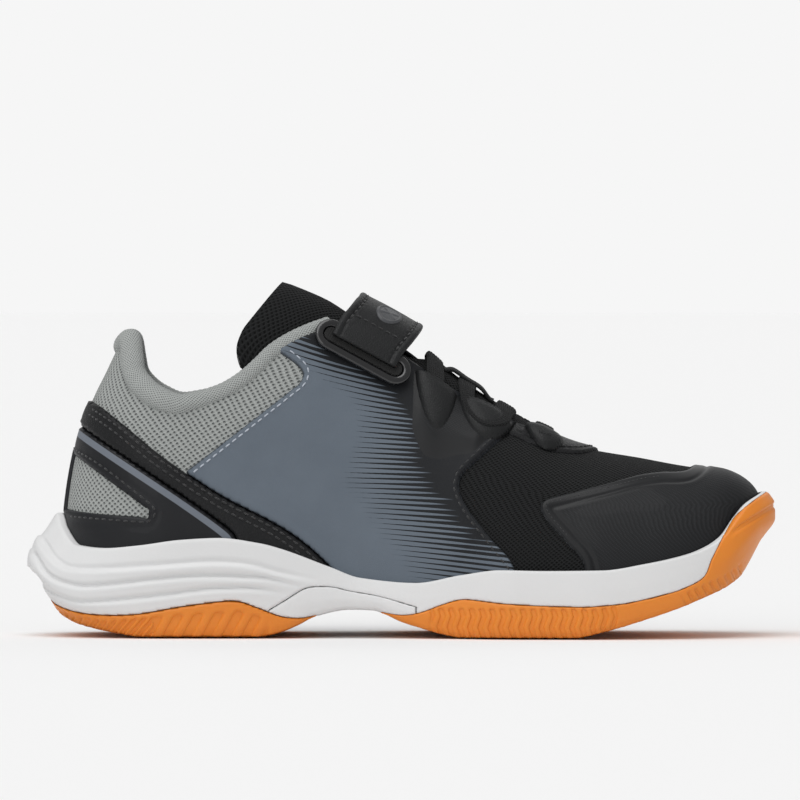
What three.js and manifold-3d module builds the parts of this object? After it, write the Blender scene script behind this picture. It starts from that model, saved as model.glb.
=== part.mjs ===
// Junior court shoe (left foot) with a lace and a strap closure.
// Millimetres, +X toe, +Y lateral side, +Z up, ground at z = 0.
import * as THREE from 'three';
import { mergeVertices } from 'three/addons/utils/BufferGeometryUtils.js';
import Module from 'manifold-3d';

const wasm = await Module();
wasm.setup();

// Driving dimensions
const shoeLength = 230;
const shoeHeight = 110;
const ballWidth = 76;
const heelWidth = 56;
const clearance = 0.3;
const fabricWall = 0.9;
const foamWall = 0.8;
const overlayWall = 0.9;
const collarPad = 2.6;
const boardWall = 1.2;
const insoleWall = 4;
const topcoverWall = 0.8;
const insoleGap = 1.4;
const strapWidth = 22;
const strapWall = 1.2;
const slotLength = 27;
const slotHeight = 5;
const slotRim = 2.6;
const laceWidth = 6;
const laceWall = 1.4;
const throatHalf = 11;
const bindingRadius = 2;
const tonguePad = 2.8;
const keeperDepth = 4.2;
const throatDepth = 60;
const grooveWidth = 2;
const grooveDepth = 1.4;

// Outlines below are drawn for a shoe 230 long and 110 high and scale with it.
const along = shoeLength / 230;
const up = shoeHeight / 110;

// Offsets of the upper's layers from its base surface, from the outside in.
const overlayIn = clearance;
const overlayOut = overlayIn + overlayWall;
const cupOffset = overlayOut + clearance + 0.4;
const fabricIn = -fabricWall;
const foamOut = fabricIn - clearance;
const foamIn = foamOut - foamWall;
const liningOut = foamIn - clearance;
const liningIn = liningOut - foamWall;
const collarLiningOut = liningOut - collarPad;
const collarLiningIn = collarLiningOut - foamWall;

// Steps of the upper's grids, heel to toe and side to side
const uSteps = 22;
const arcSteps = 14;

// Smooth line through [x, y] points that never overshoots them.
function through(points, scaleX = along, scaleY = up) {
  const xs = points.map((p) => p[0] * scaleX);
  const ys = points.map((p) => p[1] * scaleY);
  const slopes = xs.slice(1).map((x, i) => (ys[i + 1] - ys[i]) / (x - xs[i]));
  const tangents = xs.map((x, i) => {
    const before = slopes[Math.max(i - 1, 0)];
    const after = slopes[Math.min(i, slopes.length - 1)];
    return before * after <= 0 ? 0 : (2 * before * after) / (before + after);
  });
  return (value) => {
    const x = THREE.MathUtils.clamp(value, xs[0], xs[xs.length - 1]);
    let i = 0;
    while (i < xs.length - 2 && x > xs[i + 1]) i += 1;
    const span = xs[i + 1] - xs[i];
    const t = (x - xs[i]) / span;
    const rise = ys[i] * (1 - t) ** 2 * (1 + 2 * t) + ys[i + 1] * t * t * (3 - 2 * t);
    return rise + span * (tangents[i] * t * (1 - t) ** 2 - tangents[i + 1] * t * t * (1 - t));
  };
}

// Base surface of the upper
const heelX = -103.5 * along;
const toeX = 109.5 * along;
const ridgeLine = through([[-110, 138], [-75, 131], [-50, 126], [-31, 120], [-17, 108], [-9, 99.5],
  [5, 87.5], [14, 80], [26, 72], [42, 63], [56, 57.5], [73, 54.5], [88, 51.8], [100, 50.4], [112, 48.5]]);
const featherLine = through([[-110, 19], [-85, 18], [-60, 16.5], [-30, 14], [5, 12], [40, 12],
  [65, 14], [85, 18], [100, 23], [112, 27]]);
const widthScale = ballWidth / 76;
const heelScale = heelWidth / 56;
const halfMedial = through([[-110, 28 * heelScale], [-75, 28 * heelScale], [-45, 27.5 * heelScale],
  [-15, 26 * widthScale], [10, 29.5 * widthScale], [35, 35.5 * widthScale], [55, 35.5 * widthScale],
  [75, 33 * widthScale], [112, 31 * widthScale]], along, 1);
const halfLateral = through([[-110, 28 * heelScale], [-75, 28.5 * heelScale], [-45, 29 * heelScale],
  [-15, 31 * widthScale], [10, 36 * widthScale], [35, 40 * widthScale], [55, 38.5 * widthScale],
  [75, 35 * widthScale], [112, 33 * widthScale]], along, 1);
const axisLine = through([[-110, 0], [0, 0], [40, -1.5], [75, -4], [112, -5]], along, 1);
const leanLine = through([[0, 0], [37, 0.3], [44, 1], [57, 3.3], [66, 5.8], [74, 9], [80, 12],
  [89, 16.4], [93, 19], [110, 24], [140, 27]], up, along);

function stationX(u) {
  return heelX + ((toeX - heelX) * (1 - Math.cos(Math.PI * u))) / 2;
}

function stationU(x) {
  return Math.acos(THREE.MathUtils.clamp(1 - (2 * (x - heelX)) / (toeX - heelX), -1, 1)) / Math.PI;
}

// How far the plan outline has opened at a station: 0 at the heel and toe ends, 1 between.
function planRound(x) {
  const fromHeel = THREE.MathUtils.clamp((x - heelX) / (34 * along), 0, 1);
  const fromToe = THREE.MathUtils.clamp((toeX - x) / (46 * along), 0, 1);
  const heelPart = (1 - (1 - fromHeel) ** 2.2) ** (1 / 2.1);
  const toePart = (1 - (1 - fromToe) ** 2.5) ** (1 / 2.1);
  return heelPart * toePart;
}

function noseRound(x) {
  const fromToe = THREE.MathUtils.clamp((toeX - x) / (14 * along), 0, 1);
  return 0.6 + 0.4 * (1 - (1 - fromToe) ** 2.4) ** 0.5;
}

function leanShare(x) {
  const left = THREE.MathUtils.clamp(1 - (x - heelX) / (70 * along), 0, 1);
  return left * left * (3 - 2 * left);
}

// Point of the upper: u runs heel to toe, phi from the medial floor over the top, t is the offset.
function skin(u, phi, t) {
  const x = stationX(u);
  const side = phi < Math.PI / 2 ? -1 : 1;
  const out = Math.abs(Math.cos(phi));
  const rise = Math.max(Math.sin(phi), 0);
  const round = planRound(x);
  const half = side < 0 ? halfMedial(x) : halfLateral(x);
  const height = (ridgeLine(x) - featherLine(x)) * noseRound(x);
  const z = featherLine(x) + height * rise ** 0.9 + t * rise;
  const ends = Math.sqrt(Math.max(1 - round * round, 0)) * (u < 0.5 ? -1 : 1);
  const lean = leanLine(z) * leanShare(x);
  const tip = Math.max(1 - (toeX - x) / (8 * along), 0);
  return new THREE.Vector3(x + lean + t * (u < 0.5 ? out * ends : Math.max(out * ends, 0.6 * tip)),
    axisLine(x) + side * (half * round + t * round) * out, z);
}

// Angle at which a station reaches a height, at an offset.
function phiAt(u, z, side, t) {
  const x = stationX(u);
  const height = (ridgeLine(x) - featherLine(x)) * noseRound(x);
  let rise = 0;
  for (let i = 0; i < 8; i += 1) {
    const share = (z - featherLine(x) - t * rise) / height;
    rise = THREE.MathUtils.clamp(share, 0, 1) ** (1 / 0.9);
  }
  const phi = Math.asin(rise);
  return side < 0 ? phi : Math.PI - phi;
}

// Point of the upper that is seen at (x, z) from the side.
function wallAt(x, z, side, t) {
  let low = 0;
  let high = 1;
  for (let i = 0; i < 40; i += 1) {
    const middle = (low + high) / 2;
    if (skin(middle, phiAt(middle, z, side, t), t).x < x) low = middle;
    else high = middle;
  }
  return skin(low, phiAt(low, z, side, t), t);
}

// Point of the upper above the plan position (x, y), valid in front of the ankle.
function topAt(x, y, t) {
  const u = stationU(x);
  const offset = y - axisLine(x);
  const half = (offset < 0 ? halfMedial(x) : halfLateral(x)) * planRound(x);
  const phi = Math.acos(THREE.MathUtils.clamp(-offset / half, -1, 1));
  return skin(u, phi, t);
}

// Solids
function solid(geometry) {
  const plain = geometry.index ? geometry.toNonIndexed() : geometry.clone();
  plain.deleteAttribute('normal');
  plain.deleteAttribute('uv');
  const merged = mergeVertices(plain, 1e-4);
  const index = merged.index.array;
  const faces = new Map();
  for (let i = 0; i < index.length; i += 3) {
    const corners = [index[i], index[i + 1], index[i + 2]];
    const key = [...corners].sort((a, b) => a - b).join();
    // A face and its mirror image on the same corners cancel out where a sheet closes on itself.
    if (faces.has(key)) faces.delete(key);
    else if (new Set(corners).size === 3) faces.set(key, corners);
  }
  return new wasm.Manifold(new wasm.Mesh({
    numProp: 3,
    vertProperties: new Float32Array(merged.attributes.position.array),
    triVerts: new Uint32Array([...faces.values()].flat()),
  }));
}

// Closed sheet between two grids of points, outer(i, j) and inner(i, j) with i and j from 0 to 1.
function slab(columns, rows, outer, inner) {
  const positions = [];
  const grid = (place) => Array.from({ length: columns + 1 }, (_, i) =>
    Array.from({ length: rows + 1 }, (__, j) => place(i / columns, j / rows)));
  const front = grid(outer);
  const back = grid(inner);
  const quad = (a, b, c, d) => {
    [a, b, c, a, c, d].forEach((p) => positions.push(p.x, p.y, p.z));
  };
  for (let i = 0; i < columns; i += 1) {
    for (let j = 0; j < rows; j += 1) {
      quad(front[i][j], front[i + 1][j], front[i + 1][j + 1], front[i][j + 1]);
      quad(back[i][j], back[i][j + 1], back[i + 1][j + 1], back[i + 1][j]);
    }
    quad(front[i + 1][0], front[i][0], back[i][0], back[i + 1][0]);
    quad(front[i][rows], front[i + 1][rows], back[i + 1][rows], back[i][rows]);
  }
  for (let j = 0; j < rows; j += 1) {
    const first = [front[0][j], front[0][j + 1], back[0][j + 1], back[0][j]];
    const last = [front[columns][j + 1], front[columns][j], back[columns][j], back[columns][j + 1]];
    // The diagonals mirror each other, so the two halves of a folded end match face to face.
    const turn = j < rows / 2 ? 0 : 1;
    quad(...first.slice(turn), ...first.slice(0, turn));
    quad(...last.slice(turn), ...last.slice(0, turn));
  }
  const geometry = new THREE.BufferGeometry();
  geometry.setAttribute('position', new THREE.Float32BufferAttribute(positions, 3));
  return solid(geometry);
}

// Layer of the upper between two offsets, cut to shape by the callers.
function layer(inside, outside) {
  return slab(uSteps, arcSteps, (i, j) => skin(i, Math.PI * j, outside),
    (i, j) => skin(i, Math.PI * j, inside));
}

// Everything inside one offset of the upper, down to a floor below its feather line.
function filled(offset, floorDrop) {
  return slab(uSteps, arcSteps, (i, j) => skin(i, Math.PI * j, offset), (i, j) => {
    const from = skin(i, 0, offset);
    const to = skin(i, Math.PI, offset);
    return from.lerp(to, j).setZ(featherLine(stationX(i)) - floorDrop);
  });
}

// Flat sheet that follows the feather line, with the plan outline at an offset.
function floorSheet(offsetAt, bottom, top) {
  const place = (height) => (i, j) => {
    const offset = offsetAt(stationX(i));
    const from = skin(i, 0, offset);
    const to = skin(i, Math.PI, offset);
    return from.lerp(to, j).setZ(featherLine(stationX(i)) + height);
  };
  return slab(uSteps, 4, place(top), place(bottom));
}

function outlineShape(points, scaleX, scaleY) {
  return new THREE.Shape(points.map((p) => new THREE.Vector2(p[0] * scaleX, p[1] * scaleY)));
}

// Block that fills a side-view outline of [x, z] points from one y to another.
function sideBlock(points, fromY = -90, toY = 90) {
  const geometry = new THREE.ExtrudeGeometry(outlineShape(points, along, up),
    { depth: toY - fromY, bevelEnabled: false });
  geometry.rotateX(Math.PI / 2);
  geometry.translate(0, toY, 0);
  return solid(geometry);
}

// Block that fills a plan outline of [x, y] points over the whole height.
function planBlock(points, fromZ = -20, toZ = 200) {
  const geometry = new THREE.ExtrudeGeometry(outlineShape(points, along, 1),
    { depth: toZ - fromZ, bevelEnabled: false });
  geometry.translate(0, 0, fromZ);
  return solid(geometry);
}

// Points of a smooth open line through [x, z] points.
function curved(points, count) {
  const spline = new THREE.CatmullRomCurve3(points.map((p) => new THREE.Vector3(p[0], p[1], 0)),
    false, 'centripetal');
  return spline.getPoints(count).map((p) => [p.x, p.y]);
}

function shifted(points, dx, dz) {
  return points.map((p) => [p[0] + dx, p[1] + dz]);
}

const shoe = new THREE.Group();

function addPiece(name, body, look, parent = shoe) {
  const mesh = body.getMesh();
  const geometry = new THREE.BufferGeometry();
  geometry.setAttribute('position', new THREE.BufferAttribute(new Float32Array(mesh.vertProperties), 3));
  geometry.setIndex(Array.from(mesh.triVerts));
  geometry.computeVertexNormals();
  const piece = new THREE.Mesh(geometry, new THREE.MeshStandardMaterial(look));
  piece.name = name;
  parent.add(piece);
}

const looks = {
  gum: { color: 0xe8892a, roughness: 0.55, metalness: 0 },
  foam: { color: 0xeceded, roughness: 0.6, metalness: 0 },
  shank: { color: 0xf2f2f2, roughness: 0.4, metalness: 0 },
  board: { color: 0xd8d2c2, roughness: 0.9, metalness: 0 },
  greyKnit: { color: 0x9a9d9b, roughness: 0.95, metalness: 0 },
  greyRoll: { color: 0xaaacaa, roughness: 0.95, metalness: 0 },
  blackMesh: { color: 0x1b1c1d, roughness: 0.95, metalness: 0 },
  blackLeather: { color: 0x232425, roughness: 0.5, metalness: 0 },
  blackFilm: { color: 0x26282a, roughness: 0.4, metalness: 0 },
  slate: { color: 0x5c6570, roughness: 0.7, metalness: 0 },
  backing: { color: 0x3a3c3f, roughness: 0.95, metalness: 0 },
  gloss: { color: 0x0e0f10, roughness: 0.2, metalness: 0 },
  hook: { color: 0x1a1a1b, roughness: 0.9, metalness: 0 },
};

// Lines seen from the side
const collarSeam = [[-112, 88.4], [-92, 88], [-87.6, 86.8], [-85.2, 84], [-83.6, 79.6], [-80.3, 75.6],
  [-75.3, 72.8], [-69, 71.5], [-63, 72.3], [-55.3, 74.7], [-48.8, 78.4], [-43.6, 82.7], [-39.5, 86.6],
  [-34.3, 89.9], [-28.2, 92.6], [-22, 94.6], [-16, 99], [-9, 108]];
const bandUpper = [[-112, 77], [-97.6, 72.9], [-86.1, 65.6], [-73.4, 55.4], [-55.9, 43.6], [-37.4, 33.9],
  [-26.6, 25.9], [-19, 17], [-17, 5]];
const bandLower = [[-112, 73], [-100.2, 65.3], [-55.9, 35.4], [-50.3, 28.3], [-47, 22], [-46, 5]];
const quarterRear = [[-39.5, 86.6], [-34.3, 84.7], [-30.3, 80.7], [-31.3, 77.6], [-35.9, 73.9],
  [-65.1, 51.4]];
const quarterFront = [[37, 5], [34, 21.6], [26.6, 30.8], [19.2, 40.6], [17.4, 46.2], [19.2, 50.5],
  [30, 60.3], [37.4, 68.7], [43, 76]];
const toeCapRear = [[52, 5], [55.3, 20.9], [49.3, 29.6], [43.9, 35.7], [41.9, 39.7], [43.3, 41.7],
  [49.3, 43.7], [62, 46.8], [71.9, 49.3], [78.7, 50.2], [88, 51], [95, 57]];

// Regions of the upper, each a side-view block
const belowCollar = sideBlock([...curved(collarSeam, 26), [130, 150], [130, -5], [-130, -5], [-130, 88.4]]);
const throatEnd = [[34, -throatHalf], [39.5, -throatHalf * 0.72], [42, 0], [39.5, throatHalf * 0.72],
  [34, throatHalf]];
const throat = planBlock([[-60, -throatHalf], ...curved(throatEnd, 10), [-60, throatHalf]], throatDepth * up);

function upperPanel(inside, outside, block) {
  return layer(inside, outside).intersect(belowCollar).subtract(throat).intersect(block);
}

function heelMesh() {
  const block = sideBlock([[-130, -5], [-40, -5], [-32, 60], [-22, 78], [-22, 120], [-130, 120]]);
  addPiece('heel_mesh', upperPanel(fabricIn, 0, block), looks.greyKnit);
}

function heelCounter() {
  const cupTop = curved([[-50, 22], [-58, 40], [-75, 52], [-92, 56]], 8);
  const block = sideBlock([[-130, -5], [-50, -5], ...cupTop, [-130, 56]]);
  addPiece('heel_counter', upperPanel(foamIn, foamOut, block), looks.board);
}

function collarPadding() {
  const upperBlock = sideBlock([[-130, 58], [-92, 58], [-75, 54.5], [-57, 42], [-48.5, 24], [-48, -5],
    [-40.3, -5], [-32.3, 60], [-22.3, 78], [-22.3, 120], [-130, 120]]);
  const lowerBlock = sideBlock([[-130, -5], [-22, -5], [-22, 120], [-130, 120]]);
  const thin = upperPanel(collarLiningOut + clearance, liningOut, lowerBlock);
  const thick = upperPanel(collarLiningOut + clearance, foamOut, upperBlock);
  addPiece('collar_padding', thin.add(thick), looks.backing);
}

function collarLining() {
  const block = sideBlock([[-130, -5], [-22, -5], [-22, 120], [-130, 120]]);
  addPiece('collar_lining', upperPanel(collarLiningIn, collarLiningOut, block), looks.greyKnit);
}

function quarters() {
  const lower = shifted(bandUpper.slice(4), clearance, clearance);
  const outline = [...quarterRear, ...lower, ...quarterFront, [43, 150], [-50, 150]];
  const backingOutline = [[-39.6, -5], [-31.6, 60], [-21.6, 78], [-21.6, 150], [60, 150], [26, 66],
    [13, 50], [18, -5]];
  [['medial', -90, 0], ['lateral', 0, 90]].forEach(([side, fromY, toY]) => {
    const axisGap = side === 'medial' ? [fromY, toY - 1] : [fromY + 1, toY];
    const block = sideBlock(outline, ...axisGap);
    const backing = sideBlock(backingOutline, ...axisGap);
    addPiece(`quarter_${side}`, upperPanel(overlayIn, overlayOut, block), looks.slate);
    addPiece(`quarter_backing_${side}`, upperPanel(foamIn, 0, backing), looks.backing);
  });
}

function heelOverlay() {
  const window = [[-101.6, 54.5], [-102.6, 40.5], [-101.4, 38.6], [-79.5, 36.9], [-77.6, 38.4]];
  const outline = [[-130, 90], ...shifted(bandLower, -clearance, -clearance), [-130, -5]];
  const hole = sideBlock(window, -90, -6).add(sideBlock(window, 6, 90));
  const panel = upperPanel(overlayIn, overlayOut, sideBlock(outline));
  addPiece('heel_overlay', panel.subtract(hole), looks.blackLeather);
}

function heelBand() {
  const outline = [...bandUpper, ...[...bandLower].reverse()];
  addPiece('heel_band', upperPanel(overlayIn, overlayOut, sideBlock(outline)), looks.blackLeather);
}

function vampPieces() {
  const meshBlock = sideBlock([[18.4, -5], [13.4, 50], [26.4, 66], [40, 86], [60, 150], [130, 150],
    [130, -5]]);
  const foamBlock = sideBlock([[18.4, -5], [13.4, 50], [26.4, 66], [40, 86], [60, 150], [85, 150],
    [85, -5]]);
  const puffBlock = sideBlock([[85.3, -5], [85.3, 150], [130, 150], [130, -5]]);
  const liningBlock = sideBlock([[-21.7, -5], [-21.7, 150], [130, 150], [130, -5]]);
  addPiece('vamp_mesh', upperPanel(fabricIn, 0, meshBlock), looks.blackMesh);
  addPiece('vamp_foam', upperPanel(foamIn, foamOut, foamBlock), looks.backing);
  addPiece('toe_puff', upperPanel(foamIn, foamOut, puffBlock), looks.board);
  addPiece('vamp_lining', upperPanel(liningIn, liningOut, liningBlock), looks.backing);
}

function toeCap() {
  const block = sideBlock([...toeCapRear, [130, 62], [130, 5]]);
  addPiece('toe_cap', upperPanel(overlayIn, overlayOut, block), looks.blackFilm);
}

function vampFacing() {
  const clear = sideBlock([...shifted(quarterFront, clearance, -clearance), [130, 150], [130, -5]]);
  const halfWidth = throatHalf + 7;
  const nose = [[46, -halfWidth], [56, -halfWidth * 0.7], [60.5, 0], [56, halfWidth * 0.7],
    [46, halfWidth]];
  const plan = planBlock([[22, -halfWidth], ...curved(nose, 12), [22, halfWidth]], 20);
  addPiece('vamp_facing', upperPanel(overlayIn, overlayOut, clear).intersect(plan), looks.blackLeather);
}

// Sole
const soleTop = through([[-110, 37.5], [-103.5, 37.5], [-102, 33.5], [-97.5, 28], [-90, 27.3], [-80, 28.2],
  [-68, 29.9], [-56, 30.5], [-43.6, 28.9], [-37.4, 27.3], [-22, 21.6], [-12.8, 18.3], [4, 16.8],
  [18, 19.3], [30, 20.9], [43, 20.7], [61, 20.9], [73.4, 22.8], [85.7, 25.6], [91, 27.7], [96, 31],
  [100.5, 37], [104, 41], [110, 44.5]]);
const soleBottom = through([[-112, 13], [-107.6, 8.6], [-105, 6.5], [-99, 3.7], [-92.8, 2.2], [-86.7, 1],
  [-80, 0], [-44, 0], [-38, 1.2], [-32, 3.6], [-26.6, 6.3], [-16, 8.4], [-9, 8.2], [-5.7, 7.2],
  [-0.5, 4.8], [5.7, 2.8], [12, 1], [18, 0], [52, 0], [61, 1.8], [73.4, 5.4], [85.7, 9.6], [91.9, 12.2],
  [98, 14.8], [104, 18.6], [110, 24]]);
const wallShares = [1, 0.8, 0.6, 0.35, 0.12, 0];
const heelFlare = [3.2, 6.6, 9.8, 11.7, 6.6, 2.4];
const sideFlare = [3.5, 3.9, 4.2, 4.3, 3.6, 1.8];
const toeFlare = [2.8, 5.1, 5.1, 2, -2, -5];
const heelTop = [[-118, 16], [-112.5, 14.2], [-106.4, 9.9], [-99, 7.6], [-90, 6.9], [-80, 7.4], [-68, 9.5],
  [-56, 11.1], [-50, 11.2], [-44, 9.2], [-37, 6.6], [-31, 6.1], [-26, 6.9]];
const forefootTop = [[-6.5, 7.9], [0, 7], [5.7, 7.9], [11.9, 10.2], [18, 11.9], [24.2, 11.5], [30.3, 10.8],
  [42.6, 10.1], [55, 9.8], [61.1, 10.2], [67.3, 10.8], [73.4, 12], [79.6, 13.5], [85.7, 15.4], [91.9, 18.8],
  [94.4, 24.3], [98.7, 32.3], [102, 37.4], [106.7, 41], [111, 43.6], [120, 47.5]];
const shankTop = [[-42, 7.7], [-35.9, 11.4], [-29.7, 15.1], [-24.5, 15.7], [-20.5, 15.4], [-15.9, 14.3],
  [-6.6, 12.6], [4.2, 9.5]];

// Point of the sole's side wall; share 1 is the top edge and 0 the tread edge.
function soleWall(u, side, share, flares) {
  const x = stationX(u);
  const heelPull = THREE.MathUtils.clamp(1 - (x - heelX) / (26 * along), 0, 1) ** 2;
  const toePull = THREE.MathUtils.clamp(1 - (toeX - x) / (24 * along), 0, 1) ** 2;
  const offset = flares.side * (1 - heelPull - toePull) + flares.heel * heelPull + flares.toe * toePull;
  const point = skin(u, side < 0 ? 0 : Math.PI, offset);
  const bottom = soleBottom(point.x);
  return point.setZ(bottom + (soleTop(x) - bottom) * share);
}

function soleBody() {
  const levels = wallShares.length - 1;
  const across = 2;
  const rows = 2 * levels + across;
  const wall = (u, side, k) => soleWall(u, side, wallShares[k],
    { heel: heelFlare[k], side: sideFlare[k], toe: toeFlare[k] });
  const around = (u, share) => {
    const j = Math.round(share * rows);
    if (j <= levels) return wall(u, -1, j);
    if (j >= levels + across) return wall(u, 1, rows - j);
    const point = wall(u, -1, levels).lerp(wall(u, 1, levels), (j - levels) / across);
    return point.setZ(soleBottom(point.x));
  };
  const lid = (u, share) => wall(u, -1, 0).lerp(wall(u, 1, 0), share);
  return slab(26, rows, lid, around);
}

function treadGrooves(places) {
  return places.map((x) => sideBlock([[x, -5], [x + grooveWidth, -5], [x + grooveWidth, grooveDepth],
    [x, grooveDepth]])).reduce((all, groove) => all.add(groove));
}

function sole() {
  const cavity = filled(cupOffset, boardWall + 2 * clearance);
  const ring = soleBody().subtract(cavity);
  const below = (line) => sideBlock([...line, [line[line.length - 1][0], -9], [line[0][0], -9]]);
  const heelBlock = below(heelTop);
  const forefootBlock = below(forefootTop);
  const shankBlock = below(shankTop);
  const heelGap = below([...shifted(heelTop, 0, clearance), [-26 + clearance, 7.2]]);
  const forefootGap = below([[-6.5 - clearance, 8.2], ...shifted(forefootTop, -clearance, clearance)]);
  const shankGap = below(shifted(shankTop, 0, clearance));
  const heelRubber = ring.intersect(heelBlock).subtract(treadGrooves([-74, -60, -47]));
  const forefootRubber = ring.intersect(forefootBlock).subtract(treadGrooves([14, 27, 40, 53]));
  addPiece('outsole_heel', heelRubber, looks.gum);
  addPiece('outsole_forefoot', forefootRubber, looks.gum);
  addPiece('arch_shank', ring.intersect(shankBlock).subtract(heelGap).subtract(forefootGap), looks.shank);
  addPiece('midsole', ring.subtract(heelGap).subtract(forefootGap).subtract(shankGap), looks.foam);
}

function insoles() {
  const blend = through([[-19, 0], [5, 1]], along, 1);
  const inset = (x) => THREE.MathUtils.lerp(collarLiningIn, liningIn, blend(x)) - insoleGap;
  const coverBottom = insoleWall + clearance;
  const board = floorSheet(() => overlayIn, -boardWall - clearance, -clearance);
  addPiece('strobel_board', board, looks.board);
  addPiece('insole', floorSheet(inset, 0, insoleWall), looks.foam);
  addPiece('insole_topcover', floorSheet(inset, coverBottom, coverBottom + topcoverWall), looks.backing);
}

// Collar binding: a padded roll along the cut edge of the collar, thicker behind the heel
function rollAlong(points, radiusAt, steps, sides) {
  const curve = new THREE.CatmullRomCurve3(points, false, 'centripetal');
  const frames = curve.computeFrenetFrames(steps, false);
  const rim = (share, angle) => {
    const i = Math.round(share * steps);
    const centre = curve.getPointAt(share);
    const radius = radiusAt(centre.x);
    return centre.addScaledVector(frames.normals[i], radius * Math.cos(angle))
      .addScaledVector(frames.binormals[i], radius * Math.sin(angle));
  };
  return slab(steps, sides / 2, (i, j) => rim(i, Math.PI * (1 - j)), (i, j) => rim(i, Math.PI * (1 + j)));
}

function collarBinding() {
  const heelRadius = bindingRadius * 1.5;
  const radiusAt = through([[-88, heelRadius], [-74, heelRadius], [-58, bindingRadius], [0, bindingRadius]],
    along, 1);
  const line = collarSeam.slice(2, -1);
  const side = (sign) => line.map(([x, z], i) => {
    const before = line[Math.max(i - 1, 0)];
    const after = line[Math.min(i + 1, line.length - 1)];
    const run = new THREE.Vector2(after[0] - before[0], after[1] - before[1]).normalize();
    const lift = radiusAt(x * along) + 2 * clearance;
    const [edgeX, edgeZ] = [x * along - run.y * lift, z * up + run.x * lift];
    return wallAt(edgeX, edgeZ, sign, liningOut);
  });
  const crownLift = heelRadius + 2 * clearance;
  const crown = new THREE.Vector3(-85.6 * along + heelRadius * 0.7, 0, 88.2 * up + crownLift);
  const path = [...side(-1).slice(1).reverse(), crown, ...side(1).slice(1)];
  addPiece('collar_binding', rollAlong(path, radiusAt, 44, 8), looks.greyRoll);
}

// Tongue: an arched sheet under the throat whose top stands free above the collar
const tongueLine = new THREE.CatmullRomCurve3([[46, 57], [30, 65.6], [14, 75.6], [5, 82.8], [-9, 93.2],
  [-17, 98.6], [-25, 103.2], [-37, 108.2]].map(([x, z]) => new THREE.Vector3(x * along, 0, z * up)));
const tongueSplit = 0.715;
const tongueHalf = 16 * widthScale;
const tongueDrop = through([[-38, 40], [-17, 36], [14, 26], [46, 18]]);
const tongueAngle = through([[-38, 74], [-17, 72], [46, 62]], along, 1);

function tonguePoint(share, across, offset) {
  const centre = tongueLine.getPointAt(share);
  const run = tongueLine.getTangentAt(share);
  const out = new THREE.Vector3(run.z, 0, -run.x);
  const angle = THREE.MathUtils.degToRad(tongueAngle(centre.x)) * (2 * across - 1);
  const drop = tongueDrop(centre.x) * (1 - Math.cos(angle));
  const sideways = new THREE.Vector3(0, 1, 0);
  return centre.addScaledVector(out, offset * Math.cos(angle) - drop)
    .addScaledVector(sideways, (tongueHalf + offset) * Math.sin(angle));
}

function tongueSheet(from, to, inside, outside, columns) {
  const place = (offset) => (i, j) => tonguePoint(THREE.MathUtils.lerp(from, to, i), 1 - j, offset);
  return slab(columns, 8, place(outside), place(inside));
}

function tongue() {
  const liningTop = -fabricWall - clearance;
  const padIn = liningTop - tonguePad;
  const innerOut = padIn - clearance;
  const gap = clearance / 100;
  const below = tongueSplit - gap;
  const above = tongueSplit + gap;
  addPiece('tongue_lower', tongueSheet(0, below, -fabricWall, 0, 10), looks.blackMesh);
  addPiece('tongue_lower_lining', tongueSheet(0, below, liningTop - foamWall, liningTop, 10), looks.backing);
  addPiece('tongue_top', tongueSheet(above, 1, -fabricWall, 0, 5), looks.blackMesh);
  addPiece('tongue_padding', tongueSheet(above, 0.99, padIn, liningTop, 5), looks.backing);
  addPiece('tongue_lining', tongueSheet(above, 1, innerOut - foamWall, innerOut, 5), looks.backing);
}

// Strap and its slot frame; the frame's long axis runs forward and down the medial quarter
const slotRun = new THREE.Vector3(0.877, 0, -0.48).normalize();
const slotUp = new THREE.Vector3(0.48, 0, 0.877).normalize();
const slotSeen = new THREE.Vector3(-12.5 * along, 0, 86.2 * up);
const slotStand = 1.3;
const frameWall = 1.8;

function wallBeside(rise, side, offset) {
  const seen = slotSeen.clone().addScaledVector(slotUp, rise);
  return wallAt(seen.x, seen.z, side, offset);
}

const slotLower = wallBeside(-slotHeight, -1, overlayOut);
const slotUpper = wallBeside(slotHeight, -1, overlayOut);
const slotRise = slotUpper.clone().sub(slotLower);
slotRise.addScaledVector(slotRun, -slotRise.dot(slotRun)).normalize();
const slotOut = slotRun.clone().cross(slotRise).normalize();
const slotCentre = wallBeside(0, -1, overlayOut).addScaledVector(slotOut, slotStand);
const slotFrameMatrix = new THREE.Matrix4().makeBasis(slotRun, slotRise, slotOut).setPosition(slotCentre);
const hingeRise = frameWall + clearance + strapWall / 2;
const strapHinge = slotCentre.clone().addScaledVector(slotOut, hingeRise);

function stadium(length, height) {
  const radius = height / 2;
  const straight = length / 2 - radius;
  const shape = new THREE.Shape();
  shape.absarc(straight, 0, radius, -Math.PI / 2, Math.PI / 2, false);
  shape.absarc(-straight, 0, radius, Math.PI / 2, 1.5 * Math.PI, false);
  return shape;
}

function slotFrame() {
  const plate = (grow, depth, drop) => {
    const shape = stadium(slotLength + 2 * grow, slotHeight + 2 * grow);
    const geometry = new THREE.ExtrudeGeometry(shape, { depth, bevelEnabled: false, curveSegments: 8 });
    return solid(geometry.translate(0, 0, drop).applyMatrix4(slotFrameMatrix));
  };
  addPiece('slot_frame', plate(slotRim, frameWall, 0).subtract(plate(0, frameWall + 2, -1)), looks.gloss);
  addPiece('strap_anchor', plate(-clearance, frameWall, 0), looks.hook);
}

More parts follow.
